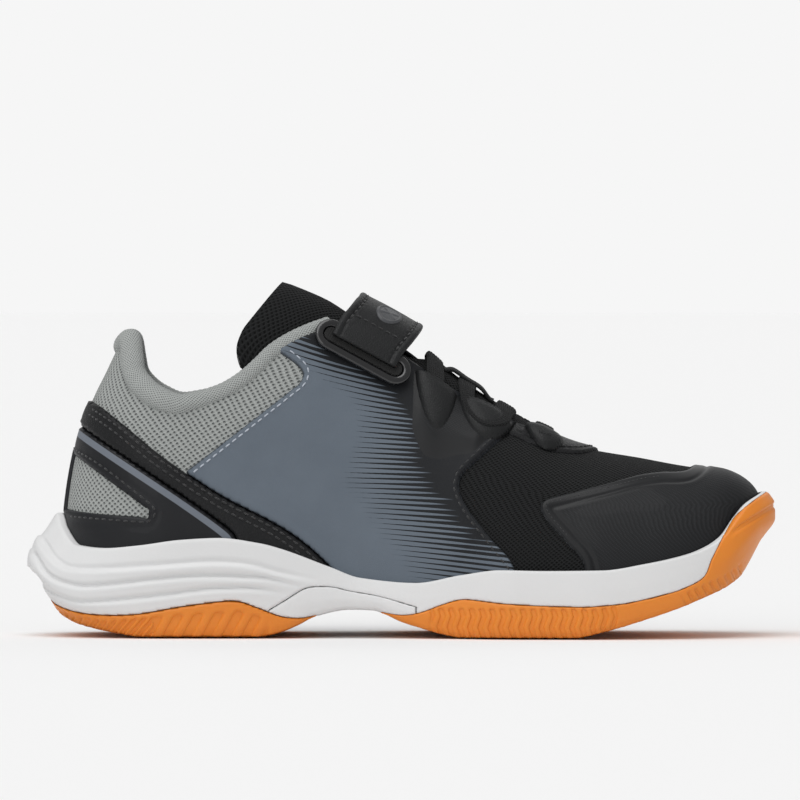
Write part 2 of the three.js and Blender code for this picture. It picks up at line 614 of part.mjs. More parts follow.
const strapSlack = 0.9;
const strapStack = overlayOut + 4 * clearance + 3 * foamWall + strapWall / 2 + strapSlack;
const archPoint = (y, rise) => slotSeen.clone().addScaledVector(slotUp, rise).setY(y);
const onLateral = (rise) => {
  const point = wallBeside(rise, 1, strapStack);
  const lift = point.clone().sub(slotSeen).dot(slotUp);
  return archPoint(point.y, lift);
};
const strapLine = new THREE.CatmullRomCurve3([
  strapHinge.clone().addScaledVector(slotRise, -0.4),
  strapHinge.clone().addScaledVector(slotRise, slotHeight / 2 + slotRim + clearance),
  archPoint(-12.8, 13.2), archPoint(-6.8, 16.4), archPoint(0, 17.4), archPoint(7, 16.7), archPoint(14, 13.2),
  onLateral(5), onLateral(-2), onLateral(-9), onLateral(-15)], false, 'centripetal');

function strapSheet(from, to, width, inside, outside, columns) {
  const place = (offset) => (i, j) => {
    const share = THREE.MathUtils.lerp(from, to, i);
    const out = slotRun.clone().cross(strapLine.getTangentAt(share)).normalize();
    const middle = strapLine.getPointAt(share).addScaledVector(out, offset);
    return middle.addScaledVector(slotRun, (0.5 - j) * width);
  };
  return slab(columns, 1, place(outside), place(inside));
}

function strap() {
  const half = strapWall / 2;
  const liningOuter = -half - clearance;
  const hookOuter = liningOuter - foamWall - clearance;
  const badgeOuter = half + clearance + 0.6;
  const strapBack = strapSheet(0.16, 0.99, strapWidth - 1, liningOuter - foamWall, liningOuter, 24);
  const hooks = strapSheet(0.78, 0.98, strapWidth - 4, hookOuter - foamWall, hookOuter, 8);
  addPiece('strap', strapSheet(0, 1, strapWidth, -half, half, 28), looks.blackLeather);
  addPiece('strap_lining', strapBack, looks.backing);
  addPiece('hook_patch', hooks, looks.hook);
  const badge = strapSheet(0.24, 0.36, strapWidth * 0.5, half + clearance, badgeOuter, 6);
  addPiece('strap_badge', badge, looks.gloss);
  const corner = (run, rise) => {
    const point = slotSeen.clone().addScaledVector(slotRun, run).addScaledVector(slotUp, rise);
    return [point.x / along, point.z / up];
  };
  const reach = strapWidth / 2 - 1.5;
  const plan = [corner(-reach, -17), corner(reach, -17), corner(reach, -2), corner(-reach, -2)];
  const from = overlayOut + clearance;
  addPiece('loop_patch', upperPanel(from, from + foamWall, sideBlock(plan, 4, 90)), looks.hook);
}

// Lace, its eyestays and the loops that hold it
const eyestayIn = overlayOut + clearance;
const eyestayOut = eyestayIn + foamWall;
const laceMiddle = eyestayOut + 3 * clearance + laceWall / 2;
const lacePlan = [[10.2, -18.5], [10.2, -13], [9.9, 0], [9.2, 13], [10.4, 17.4], [14.5, 19.4], [18.6, 17.4],
  [20, 13], [20, 0], [20, -13], [21.4, -17.4], [25.5, -19.4], [29.6, -17.4], [31, -13], [32, 0], [33, 13],
  [34.3, 17.4], [38.2, 19.2], [42.2, 17.2], [43.5, 13], [43.7, 0], [43.5, -13], [43.3, -16.5]];

// Unit normal of the upper above the plan position (x, y).
function normalAt(x, y) {
  const alongX = topAt(x + 1, y, 0).sub(topAt(x - 1, y, 0));
  const alongY = topAt(x, y + 1, 0).sub(topAt(x, y - 1, 0));
  return alongX.cross(alongY).normalize();
}

// Flat ribbon over the upper through [x, y] points, with its own width and wall.
function ribbon(points, offset, width, wall, columns) {
  const place = ([x, y], lift) => {
    const [px, py] = [x * along, y * widthScale];
    return topAt(px, py, offset).addScaledVector(normalAt(px, py), lift);
  };
  const middle = new THREE.CatmullRomCurve3(points.map((p) => place(p, 0)), false, 'centripetal');
  const above = new THREE.CatmullRomCurve3(points.map((p) => place(p, 1)), false, 'centripetal');
  const at = (share, sideways, lift) => {
    const centre = middle.getPoint(share);
    const out = above.getPoint(share).sub(centre).normalize();
    const across = middle.getTangent(share).cross(out).normalize();
    return centre.addScaledVector(out, lift).addScaledVector(across, sideways);
  };
  const face = (lift) => (i, j) => at(i, (0.5 - j) * width, lift);
  return slab(columns, 1, face(wall / 2), face(-wall / 2));
}

// Strip that bridges the lace between two [x, y] feet, lying flat at each foot's own offset.
function laceLoop(name, start, end, feet, width, look) {
  const bridge = laceMiddle + laceWall / 2 + 4 * clearance + foamWall / 2;
  const seat = 2 * clearance + foamWall / 2;
  const [startOffset, endOffset] = feet.map((offset) => offset + seat);
  const offsets = [startOffset, startOffset, bridge, bridge, bridge, endOffset, endOffset];
  const shares = [0, 0.08, 0.24, 0.5, 0.76, 0.92, 1];
  const [from, to] = [start, end].map(([x, y]) => new THREE.Vector2(x * along, y * widthScale));
  const spots = shares.map((share) => from.clone().lerp(to, share));
  const route = spots.map((p, i) => topAt(p.x, p.y, offsets[i]));
  const curve = new THREE.CatmullRomCurve3(route, false, 'centripetal');
  const heading = to.clone().sub(from).normalize();
  const half = from.clone().lerp(to, 0.5);
  const across = topAt(half.x + heading.y, half.y - heading.x, 0)
    .sub(topAt(half.x - heading.y, half.y + heading.x, 0)).normalize();
  const face = (lift) => (i, j) => {
    const out = across.clone().cross(curve.getTangent(i)).normalize();
    return curve.getPoint(i).addScaledVector(out, lift).addScaledVector(across, (0.5 - j) * width);
  };
  addPiece(name, slab(14, 1, face(foamWall / 2), face(-foamWall / 2)), look);
}

function lacing() {
  [['medial', -1], ['lateral', 1]].forEach(([side, sign]) => {
    const plan = planBlock([[4, sign * 5], [35, sign * 5], [35, sign * 26.5], [4, sign * 26.5]], 20);
    addPiece(`eyestay_${side}`, upperPanel(eyestayIn, eyestayOut, plan), looks.blackLeather);
  });
  addPiece('lace', ribbon(lacePlan, laceMiddle, laceWidth, laceWall, 60), looks.hook);
  const stayed = [eyestayOut, eyestayOut];
  const keeperFeet = [-keeperDepth, -keeperDepth];
  laceLoop('lace_loop_medial_1', [4.2, -14.6], [16, -14.6], stayed, 5, looks.blackLeather);
  laceLoop('lace_loop_medial_2', [25.5, -25.6], [25.5, -12.4], stayed, 4.2, looks.blackLeather);
  laceLoop('lace_loop_lateral_1', [14.5, 25.6], [14.5, 12.4], stayed, 4.2, looks.blackLeather);
  laceLoop('lace_loop_lateral_2', [38.2, 26.2], [38.2, 12], [0, overlayOut], 3.4, looks.blackLeather);
  laceLoop('lace_loop_medial_3', [37, -13.4], [50, -13.4], [overlayOut, overlayOut], 6, looks.blackLeather);
  laceLoop('lace_keeper', [12, -2], [28, -2], keeperFeet, 8, looks.hook);
}

heelMesh();
heelCounter();
collarPadding();
collarLining();
quarters();
heelOverlay();
heelBand();
vampPieces();
toeCap();
vampFacing();
sole();
insoles();
collarBinding();
tongue();
slotFrame();
strap();
lacing();

// The origin is the centre of the bounding box, on the ground.
const extent = new THREE.Box3().setFromObject(shoe);
shoe.position.set(-(extent.min.x + extent.max.x) / 2, -(extent.min.y + extent.max.y) / 2, -extent.min.z);

export default shoe;
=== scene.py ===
import bpy
import bmesh
import math
import numpy as np
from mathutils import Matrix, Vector


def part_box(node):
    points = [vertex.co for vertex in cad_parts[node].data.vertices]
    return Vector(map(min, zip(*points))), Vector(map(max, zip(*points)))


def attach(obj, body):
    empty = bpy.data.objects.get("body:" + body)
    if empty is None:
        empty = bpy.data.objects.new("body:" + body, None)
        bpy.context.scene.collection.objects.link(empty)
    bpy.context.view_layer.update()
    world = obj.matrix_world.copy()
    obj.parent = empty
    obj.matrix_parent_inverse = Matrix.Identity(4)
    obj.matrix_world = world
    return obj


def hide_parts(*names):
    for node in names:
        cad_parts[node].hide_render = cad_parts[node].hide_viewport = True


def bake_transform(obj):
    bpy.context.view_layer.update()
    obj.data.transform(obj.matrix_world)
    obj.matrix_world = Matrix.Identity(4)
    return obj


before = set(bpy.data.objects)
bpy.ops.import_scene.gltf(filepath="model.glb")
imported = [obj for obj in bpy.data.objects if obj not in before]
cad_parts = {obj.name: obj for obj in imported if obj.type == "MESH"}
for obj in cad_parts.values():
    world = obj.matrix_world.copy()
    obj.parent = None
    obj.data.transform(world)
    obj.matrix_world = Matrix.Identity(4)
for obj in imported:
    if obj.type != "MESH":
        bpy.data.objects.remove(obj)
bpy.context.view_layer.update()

mm = 0.001
print("frame loaded")

# The upper's base surface, in millimetres of the drawing, as the CAD model has it
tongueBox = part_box("tongue_lower")
planShift = np.array([tongueBox[1][0] / mm - 46.0, (tongueBox[0][1] + tongueBox[1][1]) / 2 / mm, 0.0])


def through(points):
    pts = np.array(points, float)
    xs, ys = pts[:, 0], pts[:, 1]
    slopes = np.diff(ys) / np.diff(xs)
    before = np.concatenate([slopes[:1], slopes])
    after = np.concatenate([slopes, slopes[-1:]])
    total = np.where(before + after == 0, 1, before + after)
    tangents = np.where(before * after <= 0, 0, 2 * before * after / total)

    def line(value):
        x = np.clip(np.asarray(value, float), xs[0], xs[-1])
        i = np.clip(np.searchsorted(xs, x, side="right") - 1, 0, len(xs) - 2)
        span = xs[i + 1] - xs[i]
        t = (x - xs[i]) / span
        rise = ys[i] * (1 - t) ** 2 * (1 + 2 * t) + ys[i + 1] * t * t * (3 - 2 * t)
        return rise + span * (tangents[i] * t * (1 - t) ** 2 - tangents[i + 1] * t * t * (1 - t))
    return line


heelX, toeX = -103.5, 109.5
upperShape = {"heelRound": 34, "toeRound": 46, "noseLength": 14, "heelLean": 70,
              "halvings": 36, "settling": 8}
ridgeLine = through([(-110, 138), (-75, 131), (-50, 126), (-31, 120), (-17, 108), (-9, 99.5), (5, 87.5),
                     (14, 80), (26, 72), (42, 63), (56, 57.5), (73, 54.5), (88, 51.8), (100, 50.4),
                     (112, 48.5)])
featherLine = through([(-110, 19), (-85, 18), (-60, 16.5), (-30, 14), (5, 12), (40, 12), (65, 14), (85, 18),
                       (100, 23), (112, 27)])
halfMedial = through([(-110, 28), (-75, 28), (-45, 27.5), (-15, 26), (10, 29.5), (35, 35.5), (55, 35.5),
                      (75, 33), (112, 31)])
halfLateral = through([(-110, 28), (-75, 28.5), (-45, 29), (-15, 31), (10, 36), (35, 40), (55, 38.5),
                       (75, 35), (112, 33)])
axisLine = through([(-110, 0), (0, 0), (40, -1.5), (75, -4), (112, -5)])
leanLine = through([(0, 0), (37, 0.3), (44, 1), (57, 3.3), (66, 5.8), (74, 9), (80, 12), (89, 16.4), (93, 19),
                    (110, 24), (140, 27)])


def stationX(u):
    return heelX + (toeX - heelX) * (1 - np.cos(np.pi * u)) / 2


def stationU(x):
    return np.arccos(np.clip(1 - 2 * (x - heelX) / (toeX - heelX), -1, 1)) / np.pi


def planRound(x):
    fromHeel = np.clip((x - heelX) / upperShape["heelRound"], 0, 1)
    fromToe = np.clip((toeX - x) / upperShape["toeRound"], 0, 1)
    return (1 - (1 - fromHeel) ** 2.2) ** (1 / 2.1) * (1 - (1 - fromToe) ** 2.5) ** (1 / 2.1)


def noseHeight(x):
    # The upper's height falls off over the last millimetres before the toe
    fromToe = np.clip((toeX - x) / upperShape["noseLength"], 0, 1)
    return 0.6 + 0.4 * (1 - (1 - fromToe) ** 2.4) ** 0.5


def skin(u, phi, t):
    # Point of the upper: u runs heel to toe, phi from the medial feather line over to the lateral, t is lift
    u, phi, t = np.broadcast_arrays(np.asarray(u, float), np.asarray(phi, float), np.asarray(t, float))
    x = stationX(u)
    side = np.where(phi < np.pi / 2, -1, 1)
    out = np.abs(np.cos(phi))
    rise = np.maximum(np.sin(phi), 0)
    roundness = planRound(x)
    half = np.where(side < 0, halfMedial(x), halfLateral(x))
    z = featherLine(x) + (ridgeLine(x) - featherLine(x)) * noseHeight(x) * rise ** 0.9 + t * rise
    ends = np.sqrt(np.maximum(1 - roundness ** 2, 0)) * np.where(u < 0.5, -1, 1)
    tip = 0.6 * np.maximum(1 - (toeX - x) / 8, 0)
    push = np.where(u < 0.5, out * ends, np.maximum(out * ends, tip))
    left = np.clip(1 - (x - heelX) / upperShape["heelLean"], 0, 1)
    lean = leanLine(z) * left * left * (3 - 2 * left)
    y = axisLine(x) + side * (half + t) * roundness * out
    return np.stack([x + lean + t * push, y, z], -1)


def wallSpot(x, z, side, t=0.0):
    # Where on the upper (u, phi) the point seen at (x, z) from the side lies
    x, z = np.broadcast_arrays(np.asarray(x, float), np.asarray(z, float))
    low, high = np.zeros(x.shape), np.ones(x.shape)
    for halving in range(upperShape["halvings"]):
        middle = (low + high) / 2
        xs = stationX(middle)
        height = (ridgeLine(xs) - featherLine(xs)) * noseHeight(xs)
        rise = np.zeros(x.shape)
        for settle in range(upperShape["settling"]):
            rise = np.clip((z - featherLine(xs) - t * rise) / height, 0, 1) ** (1 / 0.9)
        phi = np.arcsin(rise) if side < 0 else np.pi - np.arcsin(rise)
        behind = skin(middle, phi, t)[..., 0] < x
        low = np.where(behind, middle, low)
        high = np.where(behind, high, middle)
    return low, phi


def topSpot(x, y):
    x, y = np.broadcast_arrays(np.asarray(x, float), np.asarray(y, float))
    offset = y - axisLine(x)
    half = np.where(offset < 0, halfMedial(x), halfLateral(x)) * planRound(x)
    return stationU(x), np.arccos(np.clip(-offset / half, -1, 1))


def topAt(x, y, t):
    return skin(*topSpot(x, y), t)


def normalAt(x, y):
    alongX = topAt(x + 1, y, 0) - topAt(x - 1, y, 0)
    alongY = topAt(x, y + 1, 0) - topAt(x, y - 1, 0)
    return unit(np.cross(alongX, alongY))


def unit(v):
    return v / np.maximum(np.linalg.norm(v, axis=-1, keepdims=True), 1e-12)


def runAlong(points):
    # Distance along a line at each of its points
    return np.concatenate([[0], np.cumsum(np.linalg.norm(np.diff(points, axis=0), axis=1))])


def spotsAlong(at, run, points):
    return np.stack([np.interp(at, run, points[:, k]) for k in range(points.shape[1])], -1)


def smoothLine(points, count):
    # Evenly spaced points of a Catmull-Rom line through given points
    pts = np.array(points, float)
    ext = np.vstack([2 * pts[0] - pts[1], pts, 2 * pts[-1] - pts[-2]])
    out = []
    for i in range(1, len(ext) - 2):
        p0, p1, p2, p3 = ext[i - 1:i + 3]
        t = np.linspace(0, 1, 24, endpoint=False)[:, None]
        out.append(0.5 * (2 * p1 + (p2 - p0) * t + (2 * p0 - 5 * p1 + 4 * p2 - p3) * t ** 2
                          + (3 * p1 - p0 - 3 * p2 + p3) * t ** 3))
    out = np.vstack(out + [pts[-1:]])
    run = runAlong(out)
    return spotsAlong(np.linspace(0, run[-1], count), run, out)


# Mesh makers
def addMesh(name, points, faces, uvs=None, fields=None, smooth=True):
    mesh = bpy.data.meshes.new(name)
    mesh.from_pydata(((np.asarray(points) + planShift) * mm).tolist(), [], faces)
    mesh.validate()
    if uvs is not None:
        layer = mesh.uv_layers.new(name="UVMap")
        loops = np.empty(len(mesh.loops), int)
        mesh.loops.foreach_get("vertex_index", loops)
        layer.data.foreach_set("uv", np.asarray(uvs)[loops].astype("f").ravel())
    for key, values in (fields or {}).items():
        field = mesh.attributes.new(key, "FLOAT", "POINT")
        field.data.foreach_set("value", np.asarray(values, "f"))
    if smooth:
        mesh.shade_smooth()
    piece = bpy.data.objects.new(name, mesh)
    bpy.context.scene.collection.objects.link(piece)
    return piece


def finishPiece(piece, material, slot, *nodes, body="shoe"):
    piece.data.materials.clear()
    piece.data.materials.append(material)
    if body:
        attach(piece, body)
    if nodes:
        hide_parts(*nodes)
    return piece


# Distances to outlines, in millimetres: positive inside
def insideBy(px, pz, outline):
    pts = np.array(outline, float)
    nearest = np.full(px.shape, 1e9)
    inside = np.zeros(px.shape, bool)
    for (ax, az), (bx, bz) in zip(pts, np.roll(pts, -1, axis=0)):
        dx, dz = bx - ax, bz - az
        length = max(dx * dx + dz * dz, 1e-9)
        t = np.clip(((px - ax) * dx + (pz - az) * dz) / length, 0, 1)
        nearest = np.minimum(nearest, (px - ax - t * dx) ** 2 + (pz - az - t * dz) ** 2)
        if bz != az:
            crosses = ((az > pz) != (bz > pz)) & (px < (bx - ax) * (pz - az) / (bz - az) + ax)
            inside ^= crosses
    return np.where(inside, 1, -1) * np.sqrt(nearest)


upperGrid = {"columns": 460, "rows": 330}
gridU, gridPhi = np.meshgrid(np.linspace(0, 1, upperGrid["columns"]),
                             np.linspace(0, np.pi, upperGrid["rows"]), indexing="ij")
gridPoints = skin(gridU, gridPhi, 0)
arcU = np.concatenate([np.zeros((1, upperGrid["rows"])),
                       np.cumsum(np.linalg.norm(np.diff(gridPoints, axis=0), axis=2), axis=0)])
arcPhi = np.concatenate([np.zeros((upperGrid["columns"], 1)),
                         np.cumsum(np.linalg.norm(np.diff(gridPoints, axis=1), axis=2), axis=1)], axis=1)
sideX, planY, sideZ = gridPoints[..., 0], gridPoints[..., 1], gridPoints[..., 2]
medialSide = -(planY - axisLine(stationX(gridU)))


def cutSheet(name, place, distance, uvs, low, high, edge=0.7, extra=None, fields=None):
    # Closed sheet where distance is positive; its edge rounds down from the high offset to the low one
    columns, rows = distance.shape
    gi, gj = np.gradient(distance)
    slope = np.maximum(gi ** 2 + gj ** 2, 1e-9)
    cell = np.sqrt(slope)
    snap = distance < 0.25 * cell
    move = np.where(snap, distance / slope, 0)
    ii, jj = np.meshgrid(np.arange(columns), np.arange(rows), indexing="ij")
    a = np.clip((ii - np.clip(move * gi, -1.6, 1.6)) / (columns - 1), 0, 1)
    b = np.clip((jj - np.clip(move * gj, -1.6, 1.6)) / (rows - 1), 0, 1)
    deep = np.where(snap, 0, distance)

    def around(values):
        return np.stack([values[:-1, :-1], values[1:, :-1], values[1:, 1:], values[:-1, 1:]], -1)
    keep = (around(deep).max(-1) > 0) & (around(distance).min(-1) > -1.7 * around(cell).max(-1))
    ki, kj = np.nonzero(keep)
    faces = np.stack([ki * rows + kj, (ki + 1) * rows + kj, (ki + 1) * rows + kj + 1, ki * rows + kj + 1], -1)
    for i in (0, columns - 1):  # the two halves meet along the centre line at heel and toe
        atEnd = faces // rows == i
        faces = np.where(atEnd, i * rows + np.minimum(faces % rows, rows - 1 - faces % rows), faces)
    used, faces = np.unique(faces, return_inverse=True)
    faces = faces.reshape(-1, 4)[:, ::-1]
    edges = np.sort(np.stack([faces, np.roll(faces, -1, axis=1)], -1).reshape(-1, 2), axis=1)
    single, count = np.unique(edges, axis=0, return_counts=True)
    rim = np.zeros(len(used), bool)
    rim[single[count == 1].ravel()] = True
    share = np.where(rim, 0, np.clip(deep.ravel()[used] / edge, 0, 1))
    lift = low + (high - low) * np.sqrt(1 - (1 - share) ** 2)
    if extra is not None:
        lift = lift + extra.ravel()[used] * np.clip(share * 2, 0, 1)
    a, b = a.ravel()[used], b.ravel()[used]
    front = place(a, b, lift)
    inner = np.flatnonzero(~rim)
    twin = np.arange(len(used))
    twin[inner] = len(used) + np.arange(len(inner))
    back = place(a[inner], b[inner], np.full(len(inner), low))
    corners = [list(dict.fromkeys(face)) for face in np.vstack([faces, twin[faces][:, ::-1]]).tolist()]
    everyone = np.concatenate([np.arange(len(used)), inner])
    flat = uvs.reshape(-1, 2)[used][everyone]
    values = {"edge": deep.ravel()[used][everyone]}
    for key, field in (fields or {}).items():
        values[key] = field.ravel()[used][everyone]
    faceList = [face for face in corners if len(face) > 2]
    return addMesh(name, np.vstack([front, back]), faceList, flat, values)


def upperPlace(a, b, lift):
    return skin(a, b * np.pi, lift)


def cutPanel(name, distance, low, high, edge=0.7, extra=None, fields=None):
    return cutSheet(name, upperPlace, distance, np.stack([arcU, arcPhi], -1), low, high, edge, extra, fields)


visibleSeam = [(-125, 94), (-93, 93.6), (-88, 92.8), (-85.2, 90), (-84.4, 85), (-83.4, 79.6), (-80.3, 75.6),
               (-75.3, 72.8), (-69, 71.5), (-63, 72.3), (-55.3, 74.7), (-48.8, 78.4), (-43.6, 82.7),
               (-39.5, 86.6), (-34.3, 89.9), (-28.2, 92.6), (-22, 94.6), (-16, 99)]
bandUpper = [(-125, 82), (-97.6, 72.9), (-86.1, 65.6), (-73.4, 55.4), (-55.9, 43.6), (-37.4, 33.9),
             (-26.6, 25.9), (-19, 17), (-17, 5)]
bandLower = [(-125, 80.5), (-100.2, 65.3), (-55.9, 35.4), (-50.3, 28.3), (-47, 22), (-46, 5)]
quarterRear = [(-39.5, 88), (-34.3, 84.7), (-31, 81.8), (-30.3, 80.2), (-31.3, 77.6), (-35.9, 73.9),
               (-66.5, 50.2)]
quarterFront = [(37, 5), (34, 21.6), (26.6, 30.8), (20.2, 39), (17.6, 44.4), (17.6, 47.4), (19.6, 50.8),
                (30, 60.3), (37.4, 68.7), (46, 80)]
toeCapRear = [(52, 5), (55.3, 20.9), (49.3, 29.6), (43.9, 35.7), (42, 39.2), (42.3, 41.2), (44.2, 42.4),
              (49.3, 43.7), (62, 46.8), (71.9, 49.3), (78.7, 50.2), (88, 51), (95, 58)]
throatHalf = 11

seamCurve = smoothLine([*visibleSeam, (-9, 108)], 110)
belowCollar = insideBy(sideX, sideZ, [*seamCurve, (130, 160), (130, -9), (-130, -9), (-130, 94)])
throatEnd = [(34 + 8 * math.cos(a), throatHalf * math.sin(a))
             for a in np.linspace(-math.pi / 2, math.pi / 2, 13)]
throat = insideBy(sideX, planY, [(-60, -throatHalf), *throatEnd, (-60, throatHalf)])
toeHem = sideZ - np.interp(sideX, [88, 97, 112], [-20, 27, 34])
upperArea = np.minimum(np.minimum(belowCollar, toeHem), np.where(sideZ > 50, -throat, 50))
bandEdge = smoothLine(bandUpper, 60)
lowerEdge = smoothLine(bandLower, 60)
quarterEdge = smoothLine(quarterFront, 60)
quarterBack = smoothLine(quarterRear, 50)
toeEdge = smoothLine(toeCapRear, 70)
print("surface ready")


# Shader groups
def newGroup(name, inputs, outputs):
    group = bpy.data.node_groups.new(name, "ShaderNodeTree")
    for key, kind, value in inputs:
        socket = group.interface.new_socket(key, in_out="INPUT", socket_type="NodeSocket" + kind)
        if value is not None:
            socket.default_value = value
    for key, kind in outputs:
        group.interface.new_socket(key, in_out="OUTPUT", socket_type="NodeSocket" + kind)
    return group, group.nodes.new("NodeGroupInput"), group.nodes.new("NodeGroupOutput")


def wire(tree, source, target):
    tree.links.new(source, target)


def maths(tree, operation, first, second=None, clamp=False):
    node = tree.nodes.new("ShaderNodeMath")
    node.operation = operation
    node.use_clamp = clamp
    for socket, value in zip(node.inputs, (first, second)):
        if value is None:
            continue
        if isinstance(value, (int, float)):
            socket.default_value = value
        else:
            wire(tree, value, socket)
    return node.outputs[0]


def noiseIn(tree, vector, scale, detail=3.0):
    node = tree.nodes.new("ShaderNodeTexNoise")
    node.inputs["Scale"].default_value = scale
    node.inputs["Detail"].default_value = detail
    wire(tree, vector, node.inputs["Vector"])
    return node.outputs["Fac"]


def makeWeaveGroup():
    # Rows of raised stitches with staggered holes between them, in surface millimetres
    group, given, out = newGroup(
        "knitWeave", [("Surface", "Vector", None), ("Across", "Float", 2.0), ("Down", "Float", 1.7)],
        [("Hole", "Float"), ("Height", "Float"), ("Tone", "Float")])
    axes = group.nodes.new("ShaderNodeSeparateXYZ")
    wire(group, given.outputs["Surface"], axes.inputs[0])
    wobble = maths(group, "MULTIPLY", noiseIn(group, given.outputs["Surface"], 0.25), 0.5)
    alongTurn = maths(group, "DIVIDE", maths(group, "ADD", axes.outputs["X"], wobble),
                      given.outputs["Across"])
    downTurn = maths(group, "DIVIDE", maths(group, "ADD", axes.outputs["Y"], wobble), given.outputs["Down"])
    waveA = maths(group, "SINE", maths(group, "MULTIPLY", maths(group, "ADD", alongTurn, downTurn), math.pi))
    waveB = maths(group, "SINE", maths(group, "MULTIPLY", maths(group, "SUBTRACT", alongTurn, downTurn),
                                       math.pi))
    cell = maths(group, "ABSOLUTE", maths(group, "MULTIPLY", waveA, waveB))
    fibre = noiseIn(group, given.outputs["Surface"], 5.0, 4.0)
    hole = maths(group, "MULTIPLY", maths(group, "SUBTRACT", cell, 0.55), 3.2, clamp=True)
    wire(group, hole, out.inputs["Hole"])
    rough = maths(group, "MULTIPLY", fibre, 0.35)
    wire(group, maths(group, "SUBTRACT", rough, cell), out.inputs["Height"])
    wire(group, fibre, out.inputs["Tone"])
    return group


def makeGrainGroup():
    # Leather grain: small closed cells with creases between them
    group, given, out = newGroup(
        "leatherGrain", [("Surface", "Vector", None), ("Size", "Float", 1.0)],
        [("Crease", "Float"), ("Height", "Float"), ("Tone", "Float")])
    cells = group.nodes.new("ShaderNodeTexVoronoi")
    cells.feature = "DISTANCE_TO_EDGE"
    wire(group, given.outputs["Surface"], cells.inputs["Vector"])
    wire(group, given.outputs["Size"], cells.inputs["Scale"])
    crease = maths(group, "MULTIPLY", cells.outputs["Distance"], 4.0, clamp=True)
    fine = noiseIn(group, given.outputs["Surface"], 3.0, 5.0)
    wire(group, crease, out.inputs["Crease"])
    wire(group, maths(group, "ADD", crease, fine), out.inputs["Height"])
    wire(group, noiseIn(group, given.outputs["Surface"], 0.08, 4.0), out.inputs["Tone"])
    return group


def makeEdgeGroup():
    # Mask that is 1 at a piece's cut edge and 0 further in than the width
    group, given, out = newGroup("cutEdge", [("Distance", "Float", 0.0), ("Width", "Float", 0.6)],
                                 [("Mask", "Float")])
    share = maths(group, "DIVIDE", given.outputs["Distance"], given.outputs["Width"])
    wire(group, maths(group, "SUBTRACT", 1.0, share, clamp=True), out.inputs["Mask"])
    return group


weaveGroup, grainGroup, edgeGroup = makeWeaveGroup(), makeGrainGroup(), makeEdgeGroup()


class Finish:
    # A material under construction: its tree, its shader and short ways to add to it
    def __init__(self, name, colour, roughness, sheen=0.0, coat=0.0, specular=0.5):
        self.material = bpy.data.materials.new(name)
        self.material.use_nodes = True
        self.tree = self.material.node_tree
        self.shader = self.tree.nodes["Principled BSDF"]
        self.shader.inputs["Base Color"].default_value = (*colour, 1)
        self.shader.inputs["Roughness"].default_value = roughness
        self.shader.inputs["Sheen Weight"].default_value = sheen
        self.shader.inputs["Coat Weight"].default_value = coat
        self.shader.inputs["Specular IOR Level"].default_value = specular
        self.colour = None
        self.heights = []
        self.base = colour

    def surface(self, objectSpace=False):
        # Millimetres over the laid-out surface, or along the piece's own axes
        coordinates = self.tree.nodes.new("ShaderNodeTexCoord")
        mapping = self.tree.nodes.new("ShaderNodeMapping")
        mapping.inputs["Scale"].default_value = (1 / mm if objectSpace else 1.0,) * 3
        wire(self.tree, coordinates.outputs["Object" if objectSpace else "UV"], mapping.inputs["Vector"])
        return mapping.outputs["Vector"]

    def group(self, group, **values):
        node = self.tree.nodes.new("ShaderNodeGroup")
        node.node_tree = group
        for key, value in values.items():
            if isinstance(value, (int, float)):
                node.inputs[key].default_value = value
            else:
                wire(self.tree, value, node.inputs[key])
        return node.outputs

    def field(self, name):
        node = self.tree.nodes.new("ShaderNodeAttribute")
        node.attribute_name = name
        return node.outputs["Fac"]

    def tint(self, mask, colour, amount=1.0):
        mix = self.tree.nodes.new("ShaderNodeMix")
        mix.data_type = "RGBA"
        wire(self.tree, maths(self.tree, "MULTIPLY", mask, amount, clamp=True), mix.inputs["Factor"])
        if self.colour is None:
            mix.inputs["A"].default_value = (*self.base, 1)
        else:
            wire(self.tree, self.colour, mix.inputs["A"])
        mix.inputs["B"].default_value = (*colour, 1)
        self.colour = mix.outputs["Result"]
        return self

    def wornEdge(self, width, colour, amount):
        mask = self.group(edgeGroup, Distance=self.field("edge"), Width=width)["Mask"]
        return self.tint(mask, colour, amount)

    def rough(self, mask, low, high):
        spread = maths(self.tree, "MULTIPLY", mask, high - low)
        wire(self.tree, maths(self.tree, "ADD", spread, low), self.shader.inputs["Roughness"])
        return self

    def bump(self, height, distance, strength=1.0):
        node = self.tree.nodes.new("ShaderNodeBump")
        node.inputs["Strength"].default_value = strength
        node.inputs["Distance"].default_value = distance * mm
        wire(self.tree, height, node.inputs["Height"])
        if self.heights:
            wire(self.tree, self.heights[-1], node.inputs["Normal"])
        self.heights.append(node.outputs["Normal"])
        return self

    def done(self):
        if self.colour is not None:
            wire(self.tree, self.colour, self.shader.inputs["Base Color"])
        if self.heights:
            wire(self.tree, self.heights[-1], self.shader.inputs["Normal"])
        return self.material


def knitFinish(name, colour, gap, across, down, depth, sheen=0.3):
    finish = Finish(name, colour, 0.9, sheen=sheen * 0.3, specular=0.12)
    weave = finish.group(weaveGroup, Surface=finish.surface(), Across=across, Down=down)
    lighter = tuple(min(1, c * 1.35) for c in colour)
    finish.tint(weave["Tone"], lighter, 0.7).tint(weave["Hole"], gap, 0.92)
    return finish.bump(weave["Height"], depth).done()


def leatherFinish(name, colour, roughness, size, depth, edgeColour, coat=0.0, objectSpace=False):
    finish = Finish(name, colour, roughness, coat=coat * 0.3, specular=0.2)
    surface = finish.surface(objectSpace)
    grain = finish.group(grainGroup, Surface=surface, Size=size)
    finish.tint(grain["Tone"], tuple(c * 1.7 for c in colour), 0.45)
    if not objectSpace:
        finish.wornEdge(0.55, edgeColour, 0.6)
    finish.rough(grain["Crease"], roughness + 0.12, roughness - 0.05)
    return finish.bump(grain["Height"], depth).done()


